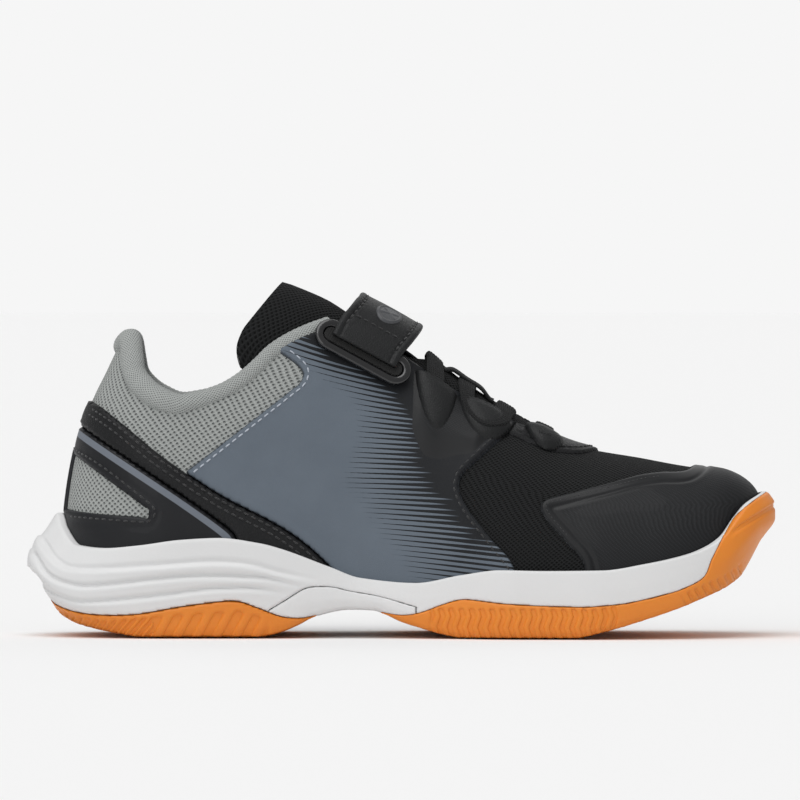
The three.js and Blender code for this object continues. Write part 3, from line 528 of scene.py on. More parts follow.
def stripedOverlay():
    # Smooth welded film with the blue-grey stripe printed beside its upper edge
    finish = Finish("stripedOverlay", (0.0105, 0.011, 0.0125), 0.42, coat=0.08, specular=0.18)
    grain = finish.group(grainGroup, Surface=finish.surface(), Size=2.6)
    finish.tint(grain["Tone"], (0.019, 0.02, 0.023), 0.5)
    finish.wornEdge(0.5, (0.035, 0.036, 0.04), 0.6)
    line = maths(finish.tree, "MULTIPLY", finish.field("stripe"), 7.0, clamp=True)
    finish.tint(line, (0.15, 0.168, 0.198))
    finish.rough(grain["Crease"], 0.5, 0.38)
    finish.bump(line, 0.08)
    return finish.bump(grain["Height"], 0.02).done()


def printedSlate():
    # Blue-grey film with a black print whose fine lines swell until they close up
    finish = Finish("slatePrint", (0.105, 0.127, 0.155), 0.52, specular=0.18)
    tree = finish.tree
    grain = finish.group(grainGroup, Surface=finish.surface(), Size=2.2)
    finish.tint(grain["Tone"], (0.155, 0.185, 0.22), 0.5)
    turn = maths(tree, "MULTIPLY", finish.field("printRow"), math.pi)
    wave = maths(tree, "ABSOLUTE", maths(tree, "SINE", turn))
    inked = maths(tree, "SUBTRACT", finish.field("printShare"), wave)
    soft = maths(tree, "ADD", maths(tree, "MULTIPLY", inked, 9.0), 0.5, clamp=True)
    finish.tint(soft, (0.011, 0.012, 0.014))
    finish.wornEdge(0.5, (0.06, 0.065, 0.075), 0.7)
    finish.rough(grain["Crease"], 0.58, 0.46)
    finish.bump(soft, 0.03)
    return finish.bump(grain["Height"], 0.02).done()


def filmFinish():
    # Welded toe film: fine slanting dots inside a smooth embossed border
    finish = Finish("toeFilm", (0.009, 0.0095, 0.0105), 0.42, coat=0.03, specular=0.2)
    tree = finish.tree
    weave = finish.group(weaveGroup, Surface=finish.surface(), Across=1.1, Down=0.9)
    inner = maths(tree, "MULTIPLY", maths(tree, "SUBTRACT", finish.field("edge"), 4.0), 0.6, clamp=True)
    finish.tint(maths(tree, "MULTIPLY", weave["Hole"], inner), (0.02, 0.021, 0.024), 0.7)
    finish.wornEdge(0.6, (0.05, 0.052, 0.056), 0.8)
    finish.rough(inner, 0.36, 0.5)
    return finish.bump(maths(tree, "MULTIPLY", weave["Height"], inner), 0.05).done()


def gumFinish():
    finish = Finish("gumRubber", (0.72, 0.21, 0.018), 0.46, specular=0.4)
    finish.shader.inputs["Subsurface Weight"].default_value = 0.12
    finish.shader.inputs["Subsurface Radius"].default_value = (0.004, 0.0015, 0.0005)
    surface = finish.surface(objectSpace=True)
    finish.tint(noiseIn(finish.tree, surface, 0.03, 4.0), (0.78, 0.26, 0.028), 0.8)
    return finish.bump(noiseIn(finish.tree, surface, 2.0, 5.0), 0.04).done()


def foamFinish(name, colour, dirt, pebble):
    finish = Finish(name, colour, 0.5, specular=0.4)
    surface = finish.surface(objectSpace=True)
    finish.tint(noiseIn(finish.tree, surface, 0.05, 5.0), dirt, 0.5)
    finish.rough(noiseIn(finish.tree, surface, 0.4, 3.0), 0.4, 0.6)
    return finish.bump(noiseIn(finish.tree, surface, pebble, 4.0), 0.05).done()


def plainWeave(name, colour, size, roughness=0.85):
    # For pieces without laid-out coordinates: boards, hidden backings and tapes
    finish = Finish(name, colour, roughness, sheen=0.1, specular=0.3)
    weave = finish.group(weaveGroup, Surface=finish.surface(objectSpace=True), Across=size, Down=size)
    finish.tint(weave["Hole"], tuple(c * 0.5 for c in colour), 0.7)
    return finish.bump(weave["Height"], 0.15).done()


def glossFinish():
    finish = Finish("glossPlastic", (0.006, 0.006, 0.007), 0.16, coat=0.4)
    surface = finish.surface(objectSpace=True)
    finish.tint(noiseIn(finish.tree, surface, 0.2, 3.0), (0.012, 0.012, 0.013), 0.6)
    return finish.rough(noiseIn(finish.tree, surface, 0.6, 4.0), 0.12, 0.26).done()


def threadFinish(name, colour):
    finish = Finish(name, colour, 0.6, sheen=0.3)
    surface = finish.surface(objectSpace=True)
    finish.tint(noiseIn(finish.tree, surface, 3.0, 2.0), tuple(min(1, c * 1.8) for c in colour), 0.6)
    return finish.bump(noiseIn(finish.tree, surface, 6.0, 2.0), 0.08).done()


looks = {
    "greyKnit": knitFinish("greyKnit", (0.34, 0.355, 0.345), (0.055, 0.06, 0.06), 2.0, 1.7, 0.42),
    "greyRoll": knitFinish("greyRoll", (0.36, 0.375, 0.365), (0.11, 0.115, 0.115), 1.1, 0.8, 0.2),
    "greyLining": knitFinish("greyLining", (0.33, 0.345, 0.335), (0.12, 0.125, 0.125), 1.3, 1.0, 0.2),
    "blackMesh": knitFinish("blackMesh", (0.014, 0.0145, 0.015), (0.002, 0.002, 0.002), 1.5, 1.2, 0.4, 0.12),
    "blackLining": knitFinish("blackLining", (0.03, 0.031, 0.033), (0.012, 0.012, 0.013), 1.2, 1.0, 0.2),
    "lacing": knitFinish("laceBraid", (0.016, 0.0165, 0.017), (0.004, 0.004, 0.004), 0.9, 0.7, 0.2, 0.2),
    "leather": leatherFinish("blackLeather", (0.0075, 0.0078, 0.0085), 0.42, 1.3, 0.07,
                             (0.02, 0.02, 0.022), 0.1),
    "smooth": stripedOverlay(),
    "strapLeather": leatherFinish("strapLeather", (0.011, 0.0115, 0.012), 0.4, 1.4, 0.05,
                                  (0.03, 0.03, 0.032), 0.08, True),
    "badge": leatherFinish("badgeFilm", (0.06, 0.062, 0.066), 0.3, 2.0, 0.02, (0.1, 0.1, 0.11), 0.2, True),
    "slate": printedSlate(),
    "film": filmFinish(),
    "gum": gumFinish(),
    "foam": foamFinish("midsoleFoam", (0.70, 0.70, 0.70), (0.62, 0.625, 0.63), 1.5),
    "shank": foamFinish("shankPlastic", (0.71, 0.71, 0.71), (0.65, 0.65, 0.655), 0.6),
    "gloss": glossFinish(),
    "hook": plainWeave("hookTape", (0.012, 0.012, 0.012), 0.7),
    "board": plainWeave("fibreBoard", (0.55, 0.5, 0.41), 0.8),
    "backing": plainWeave("foamBacking", (0.05, 0.052, 0.056), 0.9),
    "blackThread": threadFinish("blackThread", (0.006, 0.006, 0.007)),
    "greyThread": threadFinish("greyThread", (0.34, 0.37, 0.42)),
}
print("materials ready")


# Sewing: rows of single stitches that follow a line lying on a surface
# each ring of a stitch: its share of the length, its width and how far it stands up
stitch = {"sides": 6, "first": 0.4,
          "rings": [(0, 0.15, -0.35), (0.12, 0.8, 0.05), (0.5, 1, 0.3), (0.88, 0.8, 0.05), (1, 0.15, -0.35)]}


def sew(name, rows, look, slotName, pitch=2.5, length=1.75, radius=0.27, body="shoe"):
    points, faces, sides = [], [], stitch["sides"]
    for line, outward in rows:
        run = runAlong(line)
        for start in np.arange(stitch["first"], run[-1] - length, pitch):
            first, last = spotsAlong(start, run, line), spotsAlong(start + length, run, line)
            out = unit(spotsAlong(start + length / 2, run, outward))
            ahead = unit(last - first)
            across = np.cross(ahead, out)
            base = len(points)
            for share, wide, lift in stitch["rings"]:
                centre = first + (last - first) * share + out * lift * radius
                for k in range(sides):
                    angle = 2 * math.pi * k / sides
                    points.append(centre + radius * wide * (across * math.cos(angle) + out * math.sin(angle)))
            ends = (len(stitch["rings"]) - 1) * sides
            for ring in range(0, ends, sides):
                for k in range(sides):
                    a, b = base + ring + k, base + ring + (k + 1) % sides
                    faces.append((a, b, b + sides, a + sides))
            faces.append(tuple(base + k for k in range(sides - 1, -1, -1)))
            faces.append(tuple(base + ends + k for k in range(sides)))
    piece = addMesh(name, np.array(points), faces)
    return finishPiece(piece, looks[look], slotName, body=body)


def sideRow(points, side, lift, count=60):
    # Stitch line on the upper from side-view points
    line = smoothLine(points, count)
    u, phi = wallSpot(line[:, 0], line[:, 1], side)
    on = skin(u, phi, lift)
    return on, skin(u, phi, lift + 1) - on


def planRow(points, lift, count=40):
    line = smoothLine(points, count)
    u, phi = topSpot(line[:, 0], line[:, 1])
    on = skin(u, phi, lift)
    return on, skin(u, phi, lift + 1) - on


def inset(points, distance):
    # The same line moved sideways, to its right as it runs
    line = smoothLine(points, 80)
    run = unit(np.gradient(line, axis=0))
    return line + distance * np.stack([run[:, 1], -run[:, 0]], -1)


# Upper: fabric layers first, then the overlays sewn and welded onto them
layers = {"overlayIn": 0.05, "overlayOut": 1.2, "fabricIn": -0.85, "fabricOut": 0.0}
windowCorners = [(-101.6, 55.5), (-102.9, 49), (-102.8, 41.5), (-101.4, 38.6), (-79.5, 36.9), (-77.4, 37.6),
                 (-78.6, 39.8), (-99.4, 54.6)]


def quarterOutline():
    return [*quarterBack, *[p for p in bandEdge if p[0] > -66], *quarterEdge[1:], (46, 160), (-50, 160)]


def halfArea(side):
    # One side of the upper, kept clear of the centre line
    clear = 3
    return medialSide - clear if side == "medial" else -medialSide - clear


def sideArea(outline):
    return insideBy(sideX, sideZ, outline)


bandShape = [*bandEdge, *lowerEdge[::-1]]
overlayShape = [*lowerEdge, (-46, -9), (-140, -9), (-140, 82)]
frontOfQuarter = [*quarterEdge, (46, 160), (140, 160), (140, -9), (37, -9)]
windowArea = np.minimum(insideBy(sideX, sideZ, smoothLine([*windowCorners, windowCorners[0]], 60)),
                        np.abs(planY) - 3)
bandDistance = sideArea(bandShape)
quarterDistance = sideArea(quarterOutline())


def fabricPanels():
    behind = np.minimum(sideArea([(-140, -9), (-50, -9), (-58, 45), (-28, 74), (-28, 160), (-140, 160)]),
                        upperArea)
    heel = cutPanel("heel_mesh_fabric", behind, layers["fabricIn"], layers["fabricOut"], 0.4)
    finishPiece(heel, looks["greyKnit"], "grey_knit", "heel_mesh")
    ahead = np.minimum(sideArea(frontOfQuarter) + 4, upperArea)
    vamp = cutPanel("vamp_mesh_fabric", ahead, layers["fabricIn"], layers["fabricOut"], 0.4)
    finishPiece(vamp, looks["blackMesh"], "black_mesh", "vamp_mesh")


def printFields():
    # Rows of the print rise to the rear near the top, and the ink closes up towards the lace
    edge = smoothLine([(-46, 96), (-40.3, 89.9), (-31, 83.1), (-24, 77.6), (-18, 74), (-14, 69.3),
                       (-14, 60.7), (-16, 54.5), (-17.6, 46.8), (-13.6, 42.2), (-9, 34.5), (-3.5, 26.8),
                       (2.6, 18.5), (6, 8)], 60)
    area = insideBy(sideX, sideZ, [*edge, (140, 8), (140, 160), (-40, 160)])
    width = np.interp(sideZ, [20, 50, 66, 76, 84], [26, 24, 19, 12, 8])
    tilt = np.interp(sideZ, [15, 30, 47, 60, 75, 90], [0.12, 0.09, 0.03, 0.07, 0.22, 0.3])
    row = (sideZ + tilt * (sideX + 5)) / 1.5
    ragged = 0.1 * np.sin(np.floor(row) * 2.4) + 0.06 * np.sin(np.floor(row) * 5.1)
    return {"printRow": row, "printShare": area / width * 1.12 + 0.02 + 0.5 * ragged * (area > 0)}


def quarterPanels():
    fields = printFields()
    puckers = 0.12 * np.sin(quarterDistance * 1.4) * np.exp(-np.abs(quarterDistance - 2.2))
    for side in ("medial", "lateral"):
        area = np.minimum(np.minimum(quarterDistance, upperArea), halfArea(side))
        panel = cutPanel("quarter_panel_" + side, area, layers["overlayIn"], layers["overlayOut"], 0.8,
                         puckers, fields)
        finishPiece(panel, looks["slate"], "slate_leather", "quarter_" + side)


def heelPanels():
    below = insideBy(sideX, sideZ, overlayShape)
    border = 0.25 * np.exp(-((windowArea + 1.0) / 0.5) ** 2) - 0.2 * np.exp(-((windowArea + 2.6) / 0.5) ** 2)
    overlay = np.minimum(np.minimum(below, upperArea), -windowArea)
    piece = cutPanel("heel_overlay_panel", overlay, layers["overlayIn"], layers["overlayOut"] - 0.25, 0.9,
                     border, {"stripe": 1.05 - np.abs(below - 2.2)})
    finishPiece(piece, looks["smooth"], "black_leather", "heel_overlay")
    pinched = -0.14 * np.exp(-((bandDistance - 1.9) / 0.5) ** 2)
    band = cutPanel("heel_band_panel", np.minimum(bandDistance, upperArea), layers["overlayIn"],
                    layers["overlayOut"] + 0.25, 1.1, pinched)
    finishPiece(band, looks["leather"], "black_leather", "heel_band")


def forefootPanels():
    cap = insideBy(sideX, sideZ, [*toeEdge, (140, 62), (140, -9), (52, -9)])
    border = -0.28 * np.exp(-((cap - 3.4) / 0.5) ** 2) + 0.1 * np.exp(-((cap - 4.6) / 0.7) ** 2)
    piece = cutPanel("toe_cap_film", np.minimum(cap, toeHem), layers["overlayIn"] - 0.3,
                     layers["overlayOut"] - 0.3, 1.0, border)
    finishPiece(piece, looks["film"], "black_film", "toe_cap")
    plan = [(22, -18), (46, -18), *smoothLine([(46, -18), (56, -12.6), (60.5, 0), (56, 12.6), (46, 18)], 40),
            (22, 18)]
    facing = np.minimum(np.minimum(insideBy(sideX, planY, plan),
                                   insideBy(sideX, sideZ, frontOfQuarter) - 0.2),
                        np.minimum(upperArea, sideZ - 40))
    padded = 0.35 * np.clip(facing / 4, 0, 1) - 0.3 * np.exp(-((facing - 2) / 0.5) ** 2)
    piece = cutPanel("vamp_facing_panel", facing, layers["overlayIn"] - 0.3, layers["overlayOut"] - 0.2, 1.0,
                     padded)
    finishPiece(piece, looks["leather"], "black_leather", "vamp_facing")


def eyestays():
    # Padding that swells up from the printed film, with no edge of its own
    for side, sign in (("medial", -1), ("lateral", 1)):
        outer = smoothLine([(1, sign * 23), (8, sign * 26.5), (28, sign * 26.2), (36, sign * 22)], 30)
        plan = [(2, sign * 8), *outer, (36, sign * 8)]
        area = np.minimum(np.minimum(insideBy(sideX, planY, plan), np.where(sideZ > 40, 50, -50)),
                          np.minimum(upperArea, quarterDistance - 0.4))
        swell = 0.75 * np.clip(area / 6, 0, 1) ** 2 * (3 - 2 * np.clip(area / 6, 0, 1)) - 0.42
        piece = cutPanel("eyestay_panel_" + side, area, layers["overlayOut"] - 0.5,
                         layers["overlayOut"] + 0.35, 5.0, swell)
        finishPiece(piece, looks["film"], "black_leather", "eyestay_" + side)


def linings():
    rear = np.minimum(sideArea([(-140, -9), (-22, -9), (-22, 160), (-140, 160)]), upperArea)
    heelSide = np.clip((-58 - sideX) / 20, 0, 1)
    swell = -2.2 * np.exp(-((sideZ - 86) / 5) ** 2) * heelSide
    piece = cutPanel("collar_lining_fabric", rear, -5.7, -4.9, 0.3, swell)
    finishPiece(piece, looks["greyLining"], "grey_knit", "collar_lining")
    front = np.minimum(sideArea([(-21.7, -9), (-21.7, 160), (140, 160), (140, -9)]), upperArea)
    piece = cutPanel("vamp_lining_fabric", front, -3.1, -2.3, 0.3)
    finishPiece(piece, looks["blackLining"], "backing", "vamp_lining")
    piece = cutPanel("collar_padding_foam", rear - 0.8, -4.8, -3.2, 0.5, 0.6 * swell)
    finishPiece(piece, looks["backing"], "backing", "collar_padding")
    front = np.minimum(sideArea(frontOfQuarter), upperArea) - 0.8
    piece = cutPanel("vamp_foam_layer", front, -2.0, -1.2, 0.3)
    finishPiece(piece, looks["backing"], "backing", "vamp_foam")
    for side in ("medial", "lateral"):
        area = np.minimum(np.minimum(quarterDistance, upperArea) - 1.2, halfArea(side))
        piece = cutPanel("quarter_backing_layer_" + side, area, -2.0, -1.2, 0.3)
        finishPiece(piece, looks["backing"], "backing", "quarter_backing_" + side)


fabricPanels()
quarterPanels()
heelPanels()
forefootPanels()
eyestays()
linings()
print("upper ready")


# Sole
soleTop = through([(-110, 37.5), (-103.5, 37.5), (-102, 33.5), (-97.5, 28), (-90, 27.3), (-80, 28.2),
                   (-68, 29.9), (-56, 30.5), (-43.6, 28.9), (-37.4, 27.3), (-22, 21.6), (-12.8, 18.3),
                   (4, 16.8), (18, 19.3), (30, 20.9), (43, 20.7), (61, 20.9), (73.4, 22.8), (85.7, 25.6),
                   (91, 27.7), (96, 31), (100.5, 37), (104, 41), (110, 44.5)])
soleBottom = through([(-112, 13), (-107.6, 8.6), (-105, 6.5), (-99, 3.7), (-92.8, 2.2), (-86.7, 1), (-80, 0),
                      (-44, 0), (-38, 1.2), (-32, 3.6), (-26.6, 6.3), (-16, 8.4), (-9, 8.2), (-5.7, 7.2),
                      (-0.5, 4.8), (5.7, 2.8), (12, 1), (18, 0), (52, 0), (61, 1.8), (73.4, 5.4), (85.7, 9.6),
                      (91.9, 12.2), (98, 14.8), (104, 18.6), (110, 24)])
flares = {
    "heel": through([(0, 2.4), (0.12, 6.6), (0.35, 11.7), (0.6, 9.8), (0.8, 6.6), (1, 3.2)]),
    "side": through([(0, 1.8), (0.12, 3.6), (0.35, 4.3), (0.6, 4.2), (0.8, 3.9), (1, 3.5)]),
    "toe": through([(0, -5), (0.12, -2), (0.35, 2), (0.6, 5.1), (0.8, 5.1), (1, 2.8)]),
}
heelTop = [(-118, 16), (-112.5, 14.2), (-106.4, 9.9), (-99, 7.6), (-90, 6.9), (-80, 7.4), (-68, 9.5),
           (-56, 11.1), (-50, 11.2), (-44, 9.2), (-37, 6.6), (-31, 6.1), (-26, 6.9)]
forefootTop = [(-6.5, 7.9), (0, 7), (5.7, 7.9), (11.9, 10.2), (18, 11.9), (24.2, 11.5), (30.3, 10.8),
               (42.6, 10.1), (55, 9.8), (61.1, 10.2), (67.3, 10.8), (73.4, 12), (79.6, 13.5), (85.7, 15.4),
               (91.9, 18.8), (94.4, 24.3), (98.7, 32.3), (102, 37.4), (106.7, 41), (111, 43.6), (120, 47.5)]
shankTop = [(-42, 7.7), (-35.9, 11.4), (-29.7, 15.1), (-24.5, 15.7), (-20.5, 15.4), (-15.9, 14.3),
            (-6.6, 12.6), (4.2, 9.5)]
soleGrid = {"columns": 700, "rows": 181, "lid": 0.07, "corner": 0.11, "wall": 0.62}


def solePlace(a, b, lift):
    # a runs heel to toe, b from the medial top edge down the wall, under the tread and up the lateral wall
    a, b, lift = np.broadcast_arrays(np.asarray(a, float), np.asarray(b, float), np.asarray(lift, float))
    q = np.minimum(b, 1 - b) * 2
    lid, corner, wall = soleGrid["lid"], soleGrid["corner"], soleGrid["wall"]
    turn = np.clip((q - lid) / (corner - lid), 0, 1) * np.pi / 2
    share = np.where(q < corner, 1 - 0.035 * (1 - np.cos(turn)), 0.965 * (1 - (q - corner) / (wall - corner)))
    share = np.clip(share, 0, 1)
    x = stationX(a)
    heelPull = np.clip(1 - (x - heelX) / 26, 0, 1) ** 2
    toePull = np.clip(1 - (toeX - x) / 24, 0, 1) ** 2
    flare = (flares["side"](share) * (1 - heelPull - toePull) + flares["heel"](share) * heelPull
             + flares["toe"](share) * toePull)
    lipIn = np.where(q < lid, (1 - q / lid) * (flare - 1.6) + 0.6, 0.6 * (1 - np.sin(turn)))
    offset = np.where(q < corner, flare - lipIn, flare)
    near = skin(a, 0.0, offset + lift)
    far = skin(a, np.pi, offset + lift)
    point = np.where((b < 0.5)[..., None], near, far)
    bottom = soleBottom(point[..., 0])
    height = bottom + (soleTop(x) - bottom) * share
    under = np.clip((q - wall) / (1 - wall), 0, 1)
    middle = (near + far) / 2
    point = point + (middle - point) * under[..., None]
    edgeRound = 0.8 * np.exp(-(q - wall) ** 2 / 0.0006)
    point[..., 2] = np.where(under > 0, bottom, height) + edgeRound * (q > wall) - lift * (under > 0) \
        + lift * (q < lid) * 0.6
    return point


soleA, soleB = np.meshgrid(np.linspace(0, 1, soleGrid["columns"]), np.linspace(0, 1, soleGrid["rows"]),
                           indexing="ij")
solePoints = solePlace(soleA, soleB, 0.0)
soleX, soleZ = solePoints[..., 0], solePoints[..., 2]
soleQ = np.minimum(soleB, 1 - soleB) * 2
soleUv = np.stack([soleX, soleB * 200], -1)


def lineGap(px, pz, points, count=80):
    # Distance to an open line, negative under it
    line = smoothLine(points, count)
    nearest = np.full(px.shape, 1e9)
    below = np.zeros(px.shape)
    for (ax, az), (bx, bz) in zip(line[:-1], line[1:]):
        dx, dz = bx - ax, bz - az
        t = np.clip(((px - ax) * dx + (pz - az) * dz) / (dx * dx + dz * dz), 0, 1)
        gap = (px - ax - t * dx) ** 2 + (pz - az - t * dz) ** 2
        closer = gap < nearest
        below = np.where(closer, dx * (pz - az) - dz * (px - ax), below)
        nearest = np.where(closer, gap, nearest)
    return np.sqrt(nearest) * np.sign(below)


def fadeEnds(values, start, end, width):
    return np.clip((values - start) / width, 0, 1) * np.clip((end - values) / width, 0, 1)


onWall = ((soleQ > soleGrid["corner"]) & (soleQ < soleGrid["wall"])).astype(float)
sculptLines = [
    {"line": [(-110.1, 28.9), (-105.1, 23.1), (-97.5, 21.2), (-74.4, 22.5), (-62, 23.4), (-54.3, 23.5),
              (-46.6, 22.8), (-37.4, 20.3), (-25.1, 17.6)], "groove": 0.6, "step": 0.9, "wide": 0.7},
    {"line": [(-112.5, 24.9), (-108.2, 19.1), (-102.1, 16.6), (-94.4, 16), (-74.4, 18.2), (-62, 19.1),
              (-49.7, 18.9), (-40.5, 18.2), (-29.7, 15.4)], "groove": 1.2, "step": 0.6, "wide": 0.6},
    {"line": [(-114.4, 20.6), (-109.8, 15.4), (-103.6, 12.3), (-95.9, 11.1), (-74.4, 13.1), (-62, 14.8),
              (-52.8, 15.4), (-43.6, 15.1), (-34.3, 13.5)], "groove": 1.1, "step": 0.5, "wide": 0.6},
]


def sculpt():
    total = np.zeros(soleX.shape)
    for row in sculptLines:
        gap = lineGap(soleX, soleZ, row["line"])
        fade = np.clip((row["line"][-1][0] - soleX) / 14, 0, 1)
        groove = row["groove"] * np.exp(-(gap / row["wide"]) ** 2)
        step = row["step"] * np.clip(-gap / 1.6, 0, 1) * np.exp(-np.clip(-gap - 1.6, 0, 9) / 3)
        total += fade * (step - groove)
    bumper = lineGap(soleX, soleZ, [(116, 40.5), (113.4, 39.4), (108, 36.6), (103.5, 33.9), (100, 31.6)])
    total -= 0.9 * np.exp(-(bumper / 0.7) ** 2) * np.clip((soleX - 100) / 3, 0, 1)
    return total * onWall


def treadRelief():
    # Ribs on the side of the rubber and herringbone underneath
    kink = 0.9 * np.abs(((soleZ - 5.2) / 3.4 + 0.5) % 2 - 1)
    frontTurn = (soleX + 1.3 * kink) / 3.1
    front = (0.5 + 0.5 * np.cos(2 * np.pi * frontTurn)) ** 3
    frontTop = 9.4 - soleZ + np.clip(soleX - 60, 0, 9) * 0.25
    frontMask = fadeEnds(soleX, 8, 66, 2) * np.clip(frontTop / 0.8, 0, 1)
    heelTurn = np.where(soleX > -76, (soleX - 0.55 * soleZ) / 6, (soleX - 0.9 * soleZ) / 2.8)
    heel = (0.5 + 0.5 * np.cos(2 * np.pi * heelTurn)) ** 2
    heelLimit = np.interp(soleX, [-108, -99, -90, -68, -50, -40], [9.2, 6.4, 5.4, 7.4, 8.6, 6.0])
    heelMask = fadeEnds(soleX, -108, -40, 3) * np.clip((heelLimit - soleZ) / 0.8, 0, 1)
    toe = (0.5 + 0.5 * np.cos(2 * np.pi * (soleX + 0.6 * soleZ) / 2.9)) ** 3
    toeLow = soleBottom(soleX) + 4.6
    toeMask = np.clip((soleX - 84) / 4, 0, 1) * np.clip((toeLow - soleZ) / 0.8, 0, 1)
    toeMask = toeMask * np.clip((106 - soleX) / 3, 0, 1)
    wall = -(1.7 * front * frontMask + 1.8 * heel * heelMask + 1.0 * toe * toeMask) * onWall
    spread = np.abs(solePoints[..., 1] - axisLine(soleX))
    zigzag = np.abs((spread / 7 + 0.25) % 1 - 0.5) * 2
    chevron = (0.5 + 0.5 * np.cos(2 * np.pi * (soleX + 4.2 * zigzag) / 4.2)) ** 2
    underMask = (soleQ > soleGrid["wall"] + 0.03) * (fadeEnds(soleX, -112, -36, 3)
                                                     + fadeEnds(soleX, 4, 104, 3))
    pad = np.clip(1 - np.hypot((soleX - 34) / 13, (solePoints[..., 1] + 4) / 13), 0, 1)
    ring = 0.5 + 0.5 * np.cos(np.hypot(soleX - 34, solePoints[..., 1] + 4) * 1.6)
    chevron = np.where(pad > 0, ring, chevron)
    return wall - 1.2 * chevron * underMask


def soleParts():
    relief = sculpt()
    tread = treadRelief()

    def under(line):
        return insideBy(soleX, soleZ, [*smoothLine(line, 90), (line[-1][0], -30), (line[0][0], -30)])
    heelArea = under([(-125, 20), *heelTop[1:]])
    foreArea = under(forefootTop)
    shankArea = np.minimum(under(shankTop), -np.maximum(heelArea, foreArea))
    foamArea = -np.maximum(np.maximum(heelArea, foreArea), shankArea)
    parts = [("outsole_heel_rubber", heelArea, "gum", "gum_rubber", "outsole_heel", relief + tread),
             ("outsole_forefoot_rubber", foreArea, "gum", "gum_rubber", "outsole_forefoot", relief + tread),
             ("arch_shank_plate", shankArea, "shank", "shank_plastic", "arch_shank", relief * 0),
             ("midsole_foam_body", foamArea, "foam", "midsole_foam", "midsole", relief)]
    for name, area, look, slotName, node, extra in parts:
        piece = cutSheet(name, solePlace, area, soleUv, -0.55, 0.0, 0.55, extra)
        finishPiece(piece, looks[look], slotName, node)


soleParts()
print("sole ready")


# Floor, light and camera
def stageScene():
    bpy.ops.mesh.primitive_plane_add(size=60, location=(0, 0, -0.0002))
    floor = bpy.context.active_object
    floor.name = "floor"
    paper = Finish("palePaper", (0.9, 0.9, 0.9), 0.95, specular=0.05)
    floor.data.materials.append(paper.done())
    studio = {"ambient": 0.42, "backdrop": 0.922, "sunAngle": math.radians(50)}
    world = bpy.data.worlds.new("studioWorld")
    world.use_nodes = True
    tree = world.node_tree
    ambient = tree.nodes["Background"]
    ambient.inputs["Strength"].default_value = studio["ambient"]
    backdrop = tree.nodes.new("ShaderNodeBackground")
    backdrop.inputs["Color"].default_value = (1, 1, 1, 1)
    ambient.inputs["Color"].default_value = (1, 1, 1, 1)
    backdrop.inputs["Strength"].default_value = studio["backdrop"]
    path = tree.nodes.new("ShaderNodeLightPath")
    choose = tree.nodes.new("ShaderNodeMixShader")
    wire(tree, path.outputs["Is Camera Ray"], choose.inputs["Fac"])
    wire(tree, ambient.outputs[0], choose.inputs[1])
    wire(tree, backdrop.outputs[0], choose.inputs[2])
    wire(tree, choose.outputs[0], tree.nodes["World Output"].inputs["Surface"])
    bpy.context.scene.world = world
    lamps = [("topSun", (0.16, 0.3, -1), 1.5), ("sideSun", (0.35, 0.8, -0.45), 0.7),
             ("rearSun", (-0.1, -0.8, -0.6), 0.25)]
    for name, direction, power in lamps:
        sun = bpy.data.lights.new(name, "SUN")
        sun.energy = power
        sun.angle = studio["sunAngle"]
        lamp = bpy.data.objects.new(name, sun)
        lamp.rotation_euler = Vector(direction).to_track_quat("-Z", "Y").to_euler()
        bpy.context.scene.collection.objects.link(lamp)
    view = {"distance": 3.0, "elevation": math.radians(0.7), "aim": Vector((-0.00046, 0, 0.0722)),
            "lens": 438.5}
    camera = bpy.data.cameras.new("camera")
    camera.lens = view["lens"]
    camera.sensor_width = 36
    holder = bpy.data.objects.new("camera", camera)
    back = Vector((0, -math.cos(view["elevation"]), math.sin(view["elevation"])))
    holder.location = view["aim"] + back * view["distance"]
    holder.rotation_euler = (-back).to_track_quat("-Z", "Y").to_euler()
    bpy.context.scene.collection.objects.link(holder)
    bpy.context.scene.camera = holder
    bpy.context.scene.view_settings.view_transform = "Standard"


# Closed lofts: rings of points joined along a path, with capped ends
def addLoft(name, rings, uvs=None, closed=False):
    count, sides = rings.shape[:2]
    points = rings.reshape(-1, 3)
    i, j = np.meshgrid(np.arange(count if closed else count - 1), np.arange(sides), indexing="ij")
    ahead, beside = (i + 1) % count, (j + 1) % sides
    faces = np.stack([i * sides + j, i * sides + beside, ahead * sides + beside, ahead * sides + j], -1)
    faces = faces.reshape(-1, 4).tolist()
    if not closed:
        faces += [list(range(sides - 1, -1, -1)), list(range((count - 1) * sides, count * sides))]
    flat = None if uvs is None else uvs.reshape(-1, 2)
    piece = addMesh(name, points, faces, flat)
    bm = bmesh.new()
    bm.from_mesh(piece.data)
    bmesh.ops.recalc_face_normals(bm, faces=bm.faces)
    bm.to_mesh(piece.data)
    bm.free()
    return piece


def flatRing(halfWidth, halfThick, across=24, corner=5):
    # Section of a strip with rounded edges: (sideways, height) pairs all the way round
    straight = halfWidth - halfThick
    top = [(w, halfThick) for w in np.linspace(-straight, straight, across)]
    right = [(straight + halfThick * math.sin(a), halfThick * math.cos(a))
             for a in np.linspace(0, math.pi, corner + 2)[1:-1]]
    bottom = [(w, -halfThick) for w in np.linspace(straight, -straight, across)]
    left = [(-straight - halfThick * math.sin(a), -halfThick * math.cos(a))
            for a in np.linspace(0, math.pi, corner + 2)[1:-1]]
    return np.array(top + right + bottom + left)


def endRound(count, length, radius):
    # Shares along a strip and how wide it is there, so that its ends are rounded off
    distance = np.linspace(0, length, count)
    near = np.minimum(distance, length - distance)
    return np.sqrt(np.clip(1 - (1 - np.clip(near / radius, 0, 1)) ** 2, 0.02, 1))


